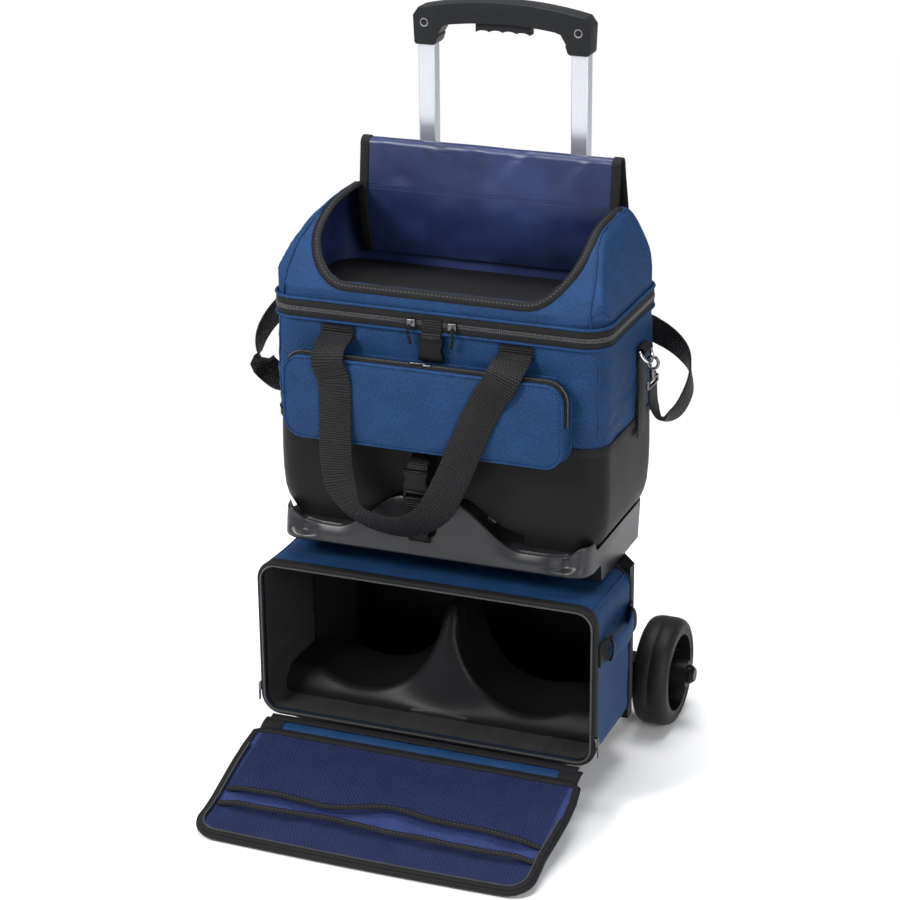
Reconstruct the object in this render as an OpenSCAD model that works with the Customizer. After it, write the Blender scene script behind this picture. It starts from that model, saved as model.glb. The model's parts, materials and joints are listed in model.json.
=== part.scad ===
// Two-wheel bowling bag roller: a two-ball bag on a wheeled base, and a lift-off tote on top of it.
// +X points to the right seen from the front, +Y points to the handle, +Z is up.
// The origin is the middle of the front stand's underside, on the floor.

/* [Lower bag] */
// Outer width of the lower bag
bag_w = 474; // [450:1:560]
// Outer height of the lower bag
bag_h = 222; // [218:1:280]
// Depth of the fabric part of the lower bag
bag_d = 150; // [120:1:180]
// Height of the lower bag's underside above the floor
bag_z = 70; // [62:1:84]
// Distance from the front stand back to the bag's front rim
rim_reach = 50; // [40:1:60]
// Corner radius of the fabric box
bag_r = 24; // [12:1:30]
// Thickness of the fabric walls
fabric_t = 4; // [2.5:0.5:6]
// Thickness of the lining
lining_t = 2; // [1:0.5:3]

/* [Balls] */
// Diameter of a bowling ball
ball_d = 216; // [200:1:218]
// Gap between the two balls
ball_gap = 25; // [10:1:30]

/* [Wheels] */
// Wheel diameter
wheel_d = 152.4; // [126:0.1:170]
// Tyre width
wheel_w = 50; // [30:1:60]
// Wheel axle's distance behind the front stand
wheelbase = 246; // [235:1:262]
// Axle diameter
axle_d = 12; // [8:0.5:14]

/* [Handle] */
// Distance between the centres of the handle tubes
tube_span = 215; // [150:1:225]
// Width of a top tube
tube_w = 24; // [16:1:26]
// Depth of a top tube
tube_d = 20; // [14:1:22]
// Wall of a tube
tube_t = 1.5; // [1:0.1:2]
// Height of the grip's top above the floor, handle out
grip_top = 1000; // [960:1:1040]
// Travel of the top stage
top_travel = 232; // [180:1:240]
// Travel of the middle stage
mid_travel = 260; // [200:1:262]

/* [Tote] */
// Width of the tote
tote_w = 456; // [430:1:470]
// Depth of the tote
tote_d = 228; // [200:1:230]
// Height of the tote's moulded base
tote_base_h = 141; // [110:1:160]
// Height of the tote's fabric body
tote_body_h = 139; // [120:1:170]
// Height of the shoe section above the zip
dome_h = 120; // [100:1:144]
// Height of the tray between the lower bag and the tote
tray_h = 52; // [45:1:60]

/* [Door] */
// Length of the front door from its hinge to its far edge
door_l = 236; // [200:1:245]
// Angle by which the open door slopes down to the floor
door_drop = 14.5; // [10:0.5:15]

/* [Fits] */
// Running clearance between tubes that slide
slide_fit = 0.5; // [0.3:0.1:0.8]
// Radial running clearance of the wheels on the axle
axle_fit = 0.05; // [0.02:0.01:0.1]
// Gap between pieces that move past each other
move_gap = 0.4; // [0.3:0.1:1]

/* [Hidden] */
$fn = 48;

// Lower bag
rim_y = -rim_reach;
fabric_y = rim_y + bag_d;
bag_top = bag_z + bag_h;
bag_mid = bag_z + bag_h / 2;
ball_x = (ball_d + ball_gap) / 2;
ball_y = rim_y + ball_d / 2 + 4;
ball_z = bag_z + fabric_t + lining_t + 11 + ball_d / 2;
cup_r = ball_d / 2 + 1.5;

// Rear shell, which narrows for the wheels
shell_t = 4;
shell_back = wheelbase - 21;
shell_x = bag_w / 2 - 42;
shell_top = bag_top;

// Wheels and axle
wheel_r = wheel_d / 2;
wheel_in = bag_w / 2 - 21;
wheel_out = wheel_in + wheel_w;
tyre_t = 15;
bearing_r = axle_d / 2 + 6;
boss_out = wheel_out + 12;
carrier_x = wheel_in - 8;
axle_x = boss_out + 6;

// Handle tubes: outer, middle and inner sections
tube_y = wheelbase + 14;
mid_w = tube_w + 2 * (tube_t + slide_fit);
mid_d = tube_d + 2 * (tube_t + slide_fit);
out_w = mid_w + 2 * (tube_t + slide_fit);
out_d = mid_d + 2 * (tube_t + slide_fit);
out_bottom = max(bag_z + 22, wheel_d / 2 + axle_d / 2 + 9.8);
out_top = out_bottom + mid_travel + 52;
mid_bottom = out_top - 50;
collar_h = 8;
grip_h = 63;
grip_bottom = grip_top - grip_h;
mid_top = grip_bottom - top_travel - collar_h - 3;
in_bottom = mid_top - 50;

// Grip
grip_w = tube_span + 33;
grip_d = 32;
grip_rise = 16;
bar_z = grip_top - 32;
hand_x = tube_span / 2 - 16;
bar_half = 38;

// Tray and tote
tray_z = bag_top + 1.5;
tote_z = tray_z + tray_h;
tote_y = rim_y + 48;
tote_back = tote_y + tote_d;
tote_x = tote_w / 2;
tote_mid = (tote_y + tote_back) / 2;
base_top = tote_z + tote_base_h;
body_top = base_top + tote_body_h;
zip_z = body_top + 12;
dome_z = zip_z + 14;
dome_top = dome_z + dome_h - 14;
tote_r = 30;
hump_z = tote_z + 52;
hump_half = 84;
hump_top_half = 34;
strap_x = -14;

// Lid and flap
lid_pivot = [tote_back + 3.5, zip_z - 0.5];
dome_r = 165;
dome_c = [tote_y + 146.7, dome_top - 3.6 - dome_r * sin(98)];
back_r = 26;
back_c = [tote_back - 54, dome_top - back_r];
flap_half = 182;
flap_t = 3;
flap_gap = 3.5;
flap_swing = 90;
fold_swing = 199.6;
fold_r = 9;
flap_hinge = [tote_back - 33, dome_top - 4.5];
far_start = dome_c + (dome_r + flap_gap) * [cos(98), sin(98)];
near_turn = [back_c[0], dome_top + 3.7];
near_end = near_turn + (far_start - near_turn) * 0.63;
flap_along = unit(far_start - near_turn);
fold_axis = near_end + fold_r * [flap_along[1], -flap_along[0]];
far_end = 148;

// Door
door_hinge = [rim_y - 9.5, bag_z - 3];
door_w = bag_w - 6;
strip_l = 24;

// Webbing
web_w = 46;
web_t = 2.6;

// ---- shared shapes ----

// Rectangle with round corners, centred
module rrect(w, h, r) {
    union() {
        square([w - 2 * r, h], center = true);
        square([w, h - 2 * r], center = true);
        for (x = [-1, 1], y = [-1, 1])
            translate([x * (w / 2 - r), y * (h / 2 - r)])
                circle(r);
    }
}

// Extrudes a drawing of the front view (x, z) from y0 back to y1
module from_front(y0, y1) {
    translate([0, y1, 0])
        rotate([90, 0, 0])
            linear_extrude(y1 - y0)
                children();
}

// Extrudes a drawing of the side view (y, z) from x0 to x1
module from_side(x0, x1) {
    translate([x0, 0, 0])
        rotate([90, 0, 90])
            linear_extrude(x1 - x0)
                children();
}

// Box given by its two opposite corners
module block(low, high) {
    translate(low)
        cube([for (i = [0:2]) high[i] - low[i]]);
}

// Rectangular tube section along Z
module tube(w, d, t, z0, z1) {
    translate([0, 0, z0])
        linear_extrude(z1 - z0)
            difference() {
                rrect(w, d, 3);
                rrect(w - 2 * t, d - 2 * t, 3 - t);
            }
}

// Places a shape at both handle tubes
module at_tubes() {
    for (s = [-1, 1])
        translate([s * tube_span / 2, tube_y, 0])
            children();
}

// Rod along X
module rod(r, x0, x1) {
    translate([x0, 0, 0])
        rotate([0, 90, 0])
            cylinder(r = r, h = x1 - x0);
}

// Points on an arc about c, from angle a0 to a1
function arc(c, r, a0, a1, n = 8) =
    [for (i = [0:n]) let (a = a0 + (a1 - a0) * i / n) [c[0] + r * cos(a), c[1] + r * sin(a)]];

function unit(v) = v / norm(v);

// Flat band swept along points: a cross-section w wide along the given side direction and t thick
function band_ring(p, along, side, w, t) =
    let (s = unit(side - (side * along) * along), n = cross(along, s))
        [p - s * w / 2 - n * t / 2, p + s * w / 2 - n * t / 2, p + s * w / 2 + n * t / 2, p - s * w / 2 + n * t / 2];
module band(points, sides, w, t) {
    n = len(points);
    rings = [for (i = [0:n - 1])
        let (a = points[max(i - 1, 0)], b = points[min(i + 1, n - 1)])
            band_ring(points[i], unit(b - a), sides[i], w, t)];
    polyhedron(
        [for (r = rings) each r],
        concat(
            [[0, 1, 2, 3], [for (k = [3:-1:0]) 4 * (n - 1) + k]],
            [for (i = [0:n - 2], k = [0:3])
                [4 * i + k, 4 * (i + 1) + k, 4 * (i + 1) + (k + 1) % 4, 4 * i + (k + 1) % 4]]));
}

// Smooth curve through points, with steps extra points on each stretch
function spline_point(a, b, c, d, t) =
    0.5 * (2 * b + (c - a) * t + (2 * a - 5 * b + 4 * c - d) * t * t + (3 * b - a - 3 * c + d) * t * t * t);
function spline(p, steps) =
    let (n = len(p))
        [for (i = [0:n - 2], k = [0:(i == n - 2 ? steps : steps - 1)])
            spline_point(p[max(i - 1, 0)], p[i], p[i + 1], p[min(i + 2, n - 1)], k / steps)];

// ---- lower bag ----

// Front view outline of the lower bag, drawn smaller by inset
module bag_outline(inset) {
    translate([0, bag_mid])
        rrect(bag_w - 2 * inset, bag_h - 2 * inset, bag_r - inset);
}

module bag_ring(inset, thick, y0, y1) {
    difference() {
        from_front(y0, y1)
            bag_outline(inset);
        from_front(y0 - 1, y1 + 1)
            bag_outline(inset + thick);
    }
}

module lower_bag_fabric() {
    color("#1c4a82")
        bag_ring(0, fabric_t, rim_y + 6, fabric_y);
}

module lower_bag_rim() {
    color("#17181a")
        bag_ring(-1, fabric_t + lining_t + 2, rim_y, rim_y + 6);
}

module compartment_lining() {
    color("#232427")
        bag_ring(fabric_t, lining_t, rim_y + 6, fabric_y);
}

// Moulded block with a cup for each ball and a saddle between them
module ball_cradle() {
    half = bag_w / 2 - fabric_t - lining_t - 2;
    floor_z = bag_z + fabric_t + lining_t;
    color("#1b1c1e")
        difference() {
            from_front(ball_y - 62, fabric_y + 15)
                polygon([[-half + 20, floor_z], [half - 20, floor_z], [half, floor_z + 20], [half, floor_z + 36],
                    [ball_x, floor_z + 30], [40, floor_z + 60], [14, ball_z], [-14, ball_z],
                    [-40, floor_z + 60], [-ball_x, floor_z + 30], [-half, floor_z + 36], [-half, floor_z + 20]]);
            for (s = [-1, 1])
                translate([s * ball_x, ball_y, ball_z])
                    sphere(cup_r, $fn = 96);
        }
}

// The rear shell's plan and side outlines, drawn smaller by inset
module shell_plan(inset) {
    w = bag_w / 2 - 1 - inset;
    polygon([[-w, fabric_y], [-w, fabric_y + 18], [-shell_x + inset, fabric_y + 68],
        [-shell_x + inset + 5, shell_back - inset], [shell_x - inset - 5, shell_back - inset],
        [shell_x - inset, fabric_y + 68], [w, fabric_y + 18], [w, fabric_y]]);
}

module shell_side(inset) {
    r = 62;
    polygon(concat(
        [[fabric_y, bag_z + inset], [shell_back - inset, bag_z + inset]],
        arc([shell_back - r, shell_top - r], r - inset, 0, 90),
        [[fabric_y, shell_top - inset]]));
}

module shell_body(inset) {
    intersection() {
        translate([0, 0, bag_z])
            linear_extrude(bag_h)
                shell_plan(inset);
        from_side(-bag_w / 2, bag_w / 2)
            shell_side(inset);
    }
}

module rear_shell() {
    color("#1d1e20")
        difference() {
            shell_body(0);
            shell_body(shell_t);
            block([-bag_w / 2 + 5, fabric_y - 1, bag_z + shell_t],
                [bag_w / 2 - 5, fabric_y + 0.5, shell_top - shell_t]);
        }
}

// Cover behind the shell that holds the outer tubes
module handle_housing() {
    half = tube_span / 2 + out_w / 2 + 8;
    color("#1d1e20")
        difference() {
            block([-half, shell_back, out_bottom], [half, tube_y + out_d / 2 + 5, bag_top + 6]);
            translate([0, 0, out_bottom - 1])
                linear_extrude(bag_h)
                    for (s = [-1, 1])
                        translate([s * tube_span / 2, tube_y])
                            rrect(out_w, out_d, 3);
            block([-tube_span / 2 + out_w / 2 + 6, shell_back + 4, out_bottom - 1],
                [tube_span / 2 - out_w / 2 - 6, tube_y + out_d / 2 + 1, bag_top]);
        }
}

module base_plate() {
    rib = 4;
    color("#1d1e20")
        difference() {
            translate([0, (rim_y + 10 + shell_back) / 2, bag_z - 8])
                linear_extrude(8)
                    rrect(bag_w - 60, shell_back - rim_y - 10, 20);
            for (i = [-2:2])
                block([i * 76 - 34, 22, bag_z - 9], [i * 76 + 34, shell_back - 14, bag_z - rib]);
        }
}

// Front stand that the bag stands on when it is upright
stand_half = 178;
module front_stand() {
    color("#1d1e20")
        difference() {
            from_side(-stand_half, stand_half)
                polygon([[-14, 5], [14, 5], [20, bag_z - 8], [-24, bag_z - 8]]);
            for (i = [-1:1])
                block([i * 118 - 54, -6, 9], [i * 118 + 54, 30, bag_z - 12]);
        }
}

module stand_pad() {
    color("#111111")
        block([-stand_half, -14, 0], [stand_half, 14, 5]);
}

// ---- axle and wheels ----

module axle_carrier() {
    color("#1d1e20")
        difference() {
            union() {
                for (s = [-1, 1])
                    block([s * (carrier_x - 12) - 12, shell_back - 40, bag_z - 8 - 6], [s * (carrier_x - 12) + 12,
                        wheelbase + 15, bag_z - 8]);
                for (s = [-1, 1])
                    block([s * (carrier_x - 12) - 12, shell_back + 0.5, bag_z - 8],
                        [s * (carrier_x - 12) + 12, wheelbase + 15, wheel_r + 15]);
            }
            translate([0, wheelbase, wheel_r])
                rod(axle_d / 2, -carrier_x - 1, carrier_x + 1);
        }
}

module axle() {
    color("#b9bcc0")
        translate([0, wheelbase, wheel_r])
            rod(axle_d / 2, -axle_x, axle_x);
}

module axle_caps() {
    color("#141414")
        for (s = [-1, 1])
            translate([s * (boss_out + 0.6), wheelbase, wheel_r])
                rotate([0, s * 90, 0])
                    rotate_extrude()
                        polygon([[axle_d / 2, 0], [13, 0], [13, 4], [9, 9], [0, 9], [0, axle_x - boss_out - 0.6],
                            [axle_d / 2, axle_x - boss_out - 0.6]]);
}

// Profile of the tyre: r outwards, x across, with round shoulders
module tyre() {
    inner = wheel_r - tyre_t;
    r = 9;
    translate([0, wheelbase, wheel_r])
        rotate([0, 90, 0])
            rotate_extrude($fn = 96)
                polygon(concat([[inner, wheel_in], [wheel_r - r, wheel_in]],
                    arc([wheel_r - r, wheel_in + r], r, -90, 0, 6),
                    arc([wheel_r - r, wheel_out - r], r, 0, 90, 6),
                    [[inner, wheel_out]]));
}

module hub() {
    rim_in = wheel_r - tyre_t - 7;
    translate([0, wheelbase, wheel_r])
        rotate([0, 90, 0])
            difference() {
                rotate_extrude($fn = 96)
                    polygon([[bearing_r, wheel_in - 3], [bearing_r + 7, wheel_in - 3], [bearing_r + 8, wheel_in + 16],
                        [rim_in, wheel_in + 12], [rim_in, wheel_in + 1], [rim_in + 7, wheel_in + 1],
                        [rim_in + 7, wheel_out - 1], [rim_in, wheel_out - 1], [rim_in - 3, wheel_in + 24],
                        [bearing_r + 10, wheel_in + 24], [bearing_r + 7, boss_out], [bearing_r, boss_out]]);
                for (i = [0:5])
                    rotate([0, 0, 60 * i])
                        translate([35, 0, wheel_in])
                            cylinder(r = 6, h = 30);
            }
}

module bearings() {
    translate([0, wheelbase, wheel_r])
        rotate([0, 90, 0])
            for (x = [wheel_in - 3, boss_out - 8])
                translate([0, 0, x])
                    difference() {
                        cylinder(r = bearing_r, h = 8);
                        translate([0, 0, -1])
                            cylinder(r = axle_d / 2 + axle_fit, h = 10);
                    }
}

module tyre_right() {
    color("#141414") tyre();
}
module tyre_left() {
    color("#141414") mirror([1, 0, 0]) tyre();
}
module hub_right() {
    color("#1a1a1b") hub();
}
module hub_left() {
    color("#1a1a1b") mirror([1, 0, 0]) hub();
}
module bearings_right() {
    color("#9a9da1") bearings();
}
module bearings_left() {
    color("#9a9da1") mirror([1, 0, 0]) bearings();
}

// ---- handle ----

module outer_tubes() {
    color("#3a3b3d")
        at_tubes() tube(out_w, out_d, tube_t, out_bottom, out_top);
}
module middle_tubes() {
    color("#c9ccd0")
        at_tubes() tube(mid_w, mid_d, tube_t, mid_bottom, mid_top);
}
module inner_tubes() {
    color("#c9ccd0")
        difference() {
            at_tubes() tube(tube_w, tube_d, tube_t, in_bottom, grip_bottom + 12);
            for (s = [-1, 1])
                translate([s * tube_span / 2, tube_y, grip_bottom - 34])
                    rotate([0, -90, 0])
                        cylinder(r = 2.5, h = tube_w);
        }
}

// Ring that closes a tube's top and guides the next tube
module collar(w, d, inner_w, inner_d, z, skirt) {
    difference() {
        translate([0, 0, z - skirt])
            linear_extrude(skirt + collar_h)
                rrect(w + 6, d + 6, 4);
        translate([0, 0, z - skirt - 1])
            linear_extrude(skirt + 1)
                rrect(w, d, 3);
        translate([0, 0, z - 1])
            linear_extrude(collar_h + 2)
                rrect(inner_w + 2 * move_gap, inner_d + 2 * move_gap, 3);
    }
}
module tube_collars() {
    color("#18191b")
        at_tubes() collar(out_w, out_d, mid_w, mid_d, out_top, 14);
}
module middle_collars() {
    color("#18191b")
        at_tubes() collar(mid_w, mid_d, tube_w, tube_d, mid_top, 10);
}

// Arched grip: front outline minus the hand opening
arch_r = (pow(grip_w / 2, 2) + pow(grip_rise, 2)) / (2 * grip_rise);
module grip() {
    color("#18191b")
        difference() {
            from_front(tube_y - grip_d / 2, tube_y + grip_d / 2)
                difference() {
                    intersection() {
                        translate([0, grip_bottom + grip_h / 2])
                            rrect(grip_w, grip_h, 8);
                        translate([0, grip_top - arch_r])
                            circle(arch_r, $fn = 240);
                    }
                    intersection() {
                        translate([0, grip_bottom - 20])
                            rrect(2 * hand_x, 2 * (bar_z - grip_bottom + 20), 12);
                        translate([0, bar_z + 4 - arch_r])
                            circle(arch_r, $fn = 240);
                    }
                }
            at_tubes()
                translate([0, 0, grip_bottom - 1])
                    linear_extrude(13)
                        rrect(tube_w, tube_d, 3);
            block([-bar_half - move_gap, tube_y - 9 - move_gap, bar_z - 12],
                [bar_half + move_gap, tube_y + 9 + move_gap, bar_z + 14]);
            screw_places()
                cylinder(r = 3.5, h = 3);
        }
}

// The grip's two front screws
module screw_places() {
    for (s = [-1, 1])
        translate([s * tube_span / 2, tube_y - grip_d / 2 + 2, grip_bottom + 30])
            rotate([90, 0, 0])
                children();
}
module grip_screws() {
    color("#a4a7ab")
        screw_places()
            difference() {
                cylinder(r = 3.5, h = 2);
                translate([0, 0, 1])
                    cylinder(r = 1.5, h = 2, $fn = 6);
            }
}

// Bar under the grip that fingers squeeze to free the tubes
module release_bar() {
    color("#222326")
        from_front(tube_y - 9, tube_y + 9)
            translate([0, bar_z - 1])
                rrect(2 * bar_half, 18, 5);
}
module release_spring() {
    color("#a4a7ab")
        translate([0, tube_y, bar_z + 8])
            difference() {
                cylinder(r = 5, h = 6);
                translate([0, 0, -1])
                    cylinder(r = 4, h = 8);
            }
}

// ---- tray ----

hump_back = tote_y + 14;
tray_front = tote_y - 18;
tray_half = tote_x - 13;
tray_back = tote_back + 2;
tray_lift = 25;

// Front outline of the hump, drawn bigger by grow
module hump_outline(grow) {
    polygon([[-hump_half - grow, tray_z + 4], [hump_half + grow, tray_z + 4], [hump_half + grow, tote_z],
        [hump_top_half + 26 + grow, hump_z - 32], [hump_top_half + grow, hump_z + grow],
        [-hump_top_half - grow, hump_z + grow], [-hump_top_half - 26 - grow, hump_z - 32],
        [-hump_half - grow, tote_z]]);
}

module top_tray() {
    color("#2a2b2d")
        difference() {
            union() {
                intersection() {
                    from_side(-tray_half, tray_half)
                        polygon([[tray_front + 26, tray_z], [tray_front, tote_z - move_gap],
                            [tray_back, tote_z - move_gap], [tray_back - 10, tray_z]]);
                    translate([0, (tray_front + tray_back) / 2, tray_z])
                        linear_extrude(tray_h)
                            rrect(2 * tray_half, tray_back - tray_front, 26);
                }
                intersection() {
                    from_front(tray_front - 4, hump_back)
                        hump_outline(0);
                    from_side(-tote_x, tote_x)
                        polygon([[tray_front + 24, tray_z + 4], [tray_front - 2, tote_z], [tray_front + 2, hump_z],
                            [hump_back, hump_z], [hump_back, tray_z + 4]]);
                }
            }
            block([-tote_x, tray_front - 20, tray_z - 1], [tote_x, tray_front + 62, tray_z + tray_lift]);
            block([-tray_half + 16, tray_front + 30, tray_z - 1],
                [tray_half - 16, tray_back - 18, tote_z - 5]);
            from_front(tray_front - 10, hump_back + 10)
                translate([strap_x, hump_z - 36])
                    rrect(44, 46, 12);
            tray_screw_places()
                cylinder(r = 6, h = 8);
        }
}

module tray_screw_places() {
    for (x = [-150, 150], y = [40, 180])
        translate([x, y, tote_z - 3.6])
            children();
}
module tray_screws() {
    color("#b9bcc0")
        tray_screw_places()
            cylinder(r = 6, h = 2);
}

// ---- side grab handles of the lower bag ----

module side_handle() {
    out = bag_w / 2;
    z = bag_z + bag_h * 0.72;
    route = spline([[out + 2, rim_y + 12, z], [out + 3.2, rim_y + 30, z], [out + 13, rim_y + 60, z],
        [out + 15, rim_y + 84, z], [out + 13, rim_y + 108, z], [out + 3.2, rim_y + 136, z],
        [out + 2, fabric_y - 1, z]], 5);
    band(route, [for (p = route) [0, 0, 1]], 30, 3);
}
module side_handle_right() {
    color("#1c4a82") side_handle();
}
module side_handle_left() {
    color("#1c4a82") mirror([1, 0, 0]) side_handle();
}

// ---- hold-down strap and buckle ----

socket_z = hump_z + 12;
socket_y = tray_front - 9;
slot_low = hump_z - 57.3;
module hold_down_strap() {
    color("#17181a")
        from_side(strap_x - 15, strap_x + 15)
            polygon([[hump_back - 4, slot_low], [socket_y + 3, slot_low], [socket_y - 3, slot_low + 7],
                [socket_y - 3, socket_z - 4], [socket_y - 0.4, socket_z - 4], [socket_y - 0.4, slot_low + 8],
                [socket_y + 4, slot_low + 2.6], [hump_back - 4, slot_low + 2.6]]);
}
module hold_down_tongue() {
    color("#101113")
        union() {
            block([strap_x - 18, socket_y - 5, socket_z - 4], [strap_x + 18, socket_y + 3, socket_z + 6]);
            for (x = [-12, 0, 12])
                block([strap_x + x - 2.5, socket_y - 3, socket_z + 5], [strap_x + x + 2.5, socket_y + 1, socket_z + 22]);
        }
}
// The socket, with the short webbing that joins it to the tote under the pocket
module hold_down_socket() {
    color("#101113")
        difference() {
            union() {
                block([strap_x - 18, socket_y - 6, socket_z + 7], [strap_x + 18, socket_y + 4, socket_z + 36]);
                from_side(strap_x - 15, strap_x + 15)
                    polygon([[socket_y - 2, socket_z + 35], [tote_y - 2.9, pocket_z0 - 9], [tote_y - 2.9, pocket_z0 - 0.5],
                        [tote_y - 0.3, pocket_z0 - 0.5], [tote_y - 0.3, pocket_z0 - 12], [socket_y + 1, socket_z + 35]]);
            }
            block([strap_x - 15.5, socket_y - 3.6, socket_z + 6], [strap_x + 15.5, socket_y + 1.6, socket_z + 26]);
        }
}

// ---- door ----

// Local frame of the door: -Y runs out along it and +Z is its inside face
module on_door() {
    translate([0, door_hinge[0], door_hinge[1]])
        rotate([door_drop, 0, 0])
            children();
}

// Door outline with round far corners, drawn smaller by inset
module door_outline(inset) {
    w = door_w / 2 - inset;
    far = -door_l + inset;
    near = -strip_l - inset;
    r = 34 - inset;
    polygon(concat([[w - 8, near], [-w + 8, near], [-w, near - 8]],
        arc([-w + r, far + r], r, 180, 270), arc([w - r, far + r], r, 270, 360), [[w, near - 8]]));
}
module door_panel() {
    color("#1c2a5e")
        on_door()
            translate([0, 0, -5])
                linear_extrude(4.6)
                    door_outline(8);
}
module door_binding() {
    color("#17181a")
        on_door()
            difference() {
                translate([0, 0, -5.6])
                    linear_extrude(8)
                        door_outline(0);
                translate([0, 0, -8])
                    linear_extrude(14)
                        door_outline(8);
            }
}

// Two mesh pockets that face each other across the door
mesh_gap = 7;
mesh_split = -152;
module door_mesh_pockets() {
    w = door_w / 2 - 12;
    color("#232d5c")
        on_door() {
            difference() {
                block([-w, mesh_split, -0.4], [w, -strip_l - 16, mesh_gap + 1.2]);
                block([-w + 2, mesh_split - 1, -1], [w - 2, -strip_l - 18, mesh_gap]);
            }
            difference() {
                block([-w + 30, -door_l + 14, -0.4], [w - 30, mesh_split - 10, mesh_gap + 1.2]);
                block([-w + 32, -door_l + 16, -1], [w - 32, mesh_split - 9, mesh_gap]);
            }
        }
}
module door_hinge_strip() {
    color("#1c4a82")
        on_door()
            block([-door_w / 2 + 34, -strip_l, -3], [door_w / 2 - 34, -2.5, -1]);
}

// Zip sliders of the door, parked at the foot of the rim's outer side
module door_slider() {
    x = bag_w / 2 + 1.4;
    y = rim_y + 3;
    block([x, y - 4, bag_z + 30], [x + 3.6, y + 4, bag_z + 42]);
    block([x + 3.6, y - 2.5, bag_z + 14], [x + 5, y + 2.5, bag_z + 40]);
}
module door_slider_right() {
    color("#2b2b2d") door_slider();
}
module door_slider_left() {
    color("#2b2b2d") mirror([1, 0, 0]) door_slider();
}

// ---- tote ----

// Plan outline of the tote, drawn smaller by inset
module tote_plan(inset) {
    translate([0, tote_mid])
        rrect(tote_w - 2 * inset, tote_d - 2 * inset, tote_r - inset);
}
module tote_ring(inset, thick, z0, z1) {
    translate([0, 0, z0])
        linear_extrude(z1 - z0)
            difference() {
                tote_plan(inset);
                tote_plan(inset + thick);
            }
}

// Front view of the base, with raised lower corners, drawn smaller by inset
module base_outline(inset) {
    h = tote_base_h;
    polygon([[-tote_x + 14 + inset, tote_z + inset], [tote_x - 14 - inset, tote_z + inset],
        [tote_x - inset, tote_z + 34], [tote_x - inset, tote_z + h + (inset > 0 ? 1 : 0)],
        [-tote_x + inset, tote_z + h + (inset > 0 ? 1 : 0)], [-tote_x + inset, tote_z + 34]]);
}
module base_form(inset) {
    intersection() {
        from_front(tote_y, tote_back)
            base_outline(inset);
        translate([0, 0, tote_z])
            linear_extrude(tote_base_h + 1)
                tote_plan(inset);
    }
}
base_t = 4;
notch_half = hump_half + 40;
notch_h = 54;
module notch(grow, deep) {
    from_front(tote_y - 1, hump_back + deep)
        union() {
            polygon([[-notch_half - grow, tote_z - 1], [notch_half + grow, tote_z - 1],
                [notch_half + grow - 4, tote_z + 12 + grow], [hump_half + 6 + grow, tote_z + 22 + grow],
                [hump_top_half + 14 + grow, tote_z + notch_h + grow],
                [-hump_top_half - 14 - grow, tote_z + notch_h + grow],
                [-hump_half - 6 - grow, tote_z + 22 + grow], [-notch_half - grow + 4, tote_z + 12 + grow]]);
        }
}
module tote_base() {
    color("#1a1b1d")
        difference() {
            base_form(0);
            difference() {
                base_form(base_t);
                notch(base_t, 1 + base_t);
            }
            notch(0, 1);
        }
}
module tote_body() {
    color("#1c4a82")
        tote_ring(0, fabric_t, base_top, body_top);
}
module seam_band() {
    color("#17181a")
        tote_ring(-1.6, 1.6, base_top - 6, base_top + 6);
}
module lower_zip_tape() {
    color("#17181a")
        tote_ring(-2, fabric_t + 2, body_top, zip_z - 0.5);
}

// Rounded front pocket with its bound zip on top
pocket_z0 = base_top - 14;
pocket_z1 = base_top + 98;
pocket_x0 = -198;
pocket_x1 = 186;
pocket_out = 36;
module front_pocket() {
    cx = (pocket_x0 + pocket_x1) / 2;
    cz = (pocket_z0 + pocket_z1) / 2;
    w = pocket_x1 - pocket_x0;
    h = pocket_z1 - pocket_z0;
    color("#1c4a82")
        difference() {
            intersection() {
                from_front(tote_y - pocket_out, tote_y - 1.6)
                    translate([cx, cz])
                        rrect(w, h, 22);
                translate([0, 0, pocket_z0])
                    linear_extrude(h)
                        translate([cx, tote_y])
                            rrect(w, 2 * pocket_out, 18);
            }
            from_front(tote_y - pocket_out + 3, tote_y - 4)
                translate([cx, cz])
                    rrect(w - 8, h - 8, 18);
            block([pocket_x0 + 30, tote_y - pocket_out + 10, pocket_z1 - 8],
                [pocket_x1 - 30, tote_y - pocket_out + 20, pocket_z1 + 1]);
        }
}
module pocket_slider() {
    y = tote_y - pocket_out + 15;
    color("#2b2b2d")
        union() {
            block([-6, y - 4, pocket_z1 + 0.5], [6, y + 4, pocket_z1 + 4.5]);
            block([-24, y - 2.5, pocket_z1 + 2.5], [-5, y + 2.5, pocket_z1 + 4]);
        }
}

// Vertical webbing tabs on the tote's sides, each with a loop for its ring
tab_y = tote_mid + 34;
loop_x = 7.2;
loop_z = body_top - 42;
ring_wire = 2.5;
ring_r = 19;
ring_tilt = 28;
module at_side(s) {
    translate([s * tote_x, tab_y, 0])
        mirror([s < 0 ? 1 : 0, 0, 0])
            children();
}
module side_tabs() {
    color("#17181a")
        for (s = [-1, 1])
            at_side(s)
                difference() {
                    union() {
                        block([1.6, -16, base_top - 22], [4.2, 16, loop_z + 6]);
                        translate([loop_x, -14, loop_z])
                            rotate([-90, 0, 0])
                                cylinder(r = 6, h = 28);
                    }
                    translate([loop_x, -17, loop_z])
                        rotate([-90, 0, 0])
                            cylinder(r = ring_wire + 0.4, h = 34);
                    block([-6, -17, base_top - 30], [1.6, 17, loop_z + 12]);
                }
}

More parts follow.
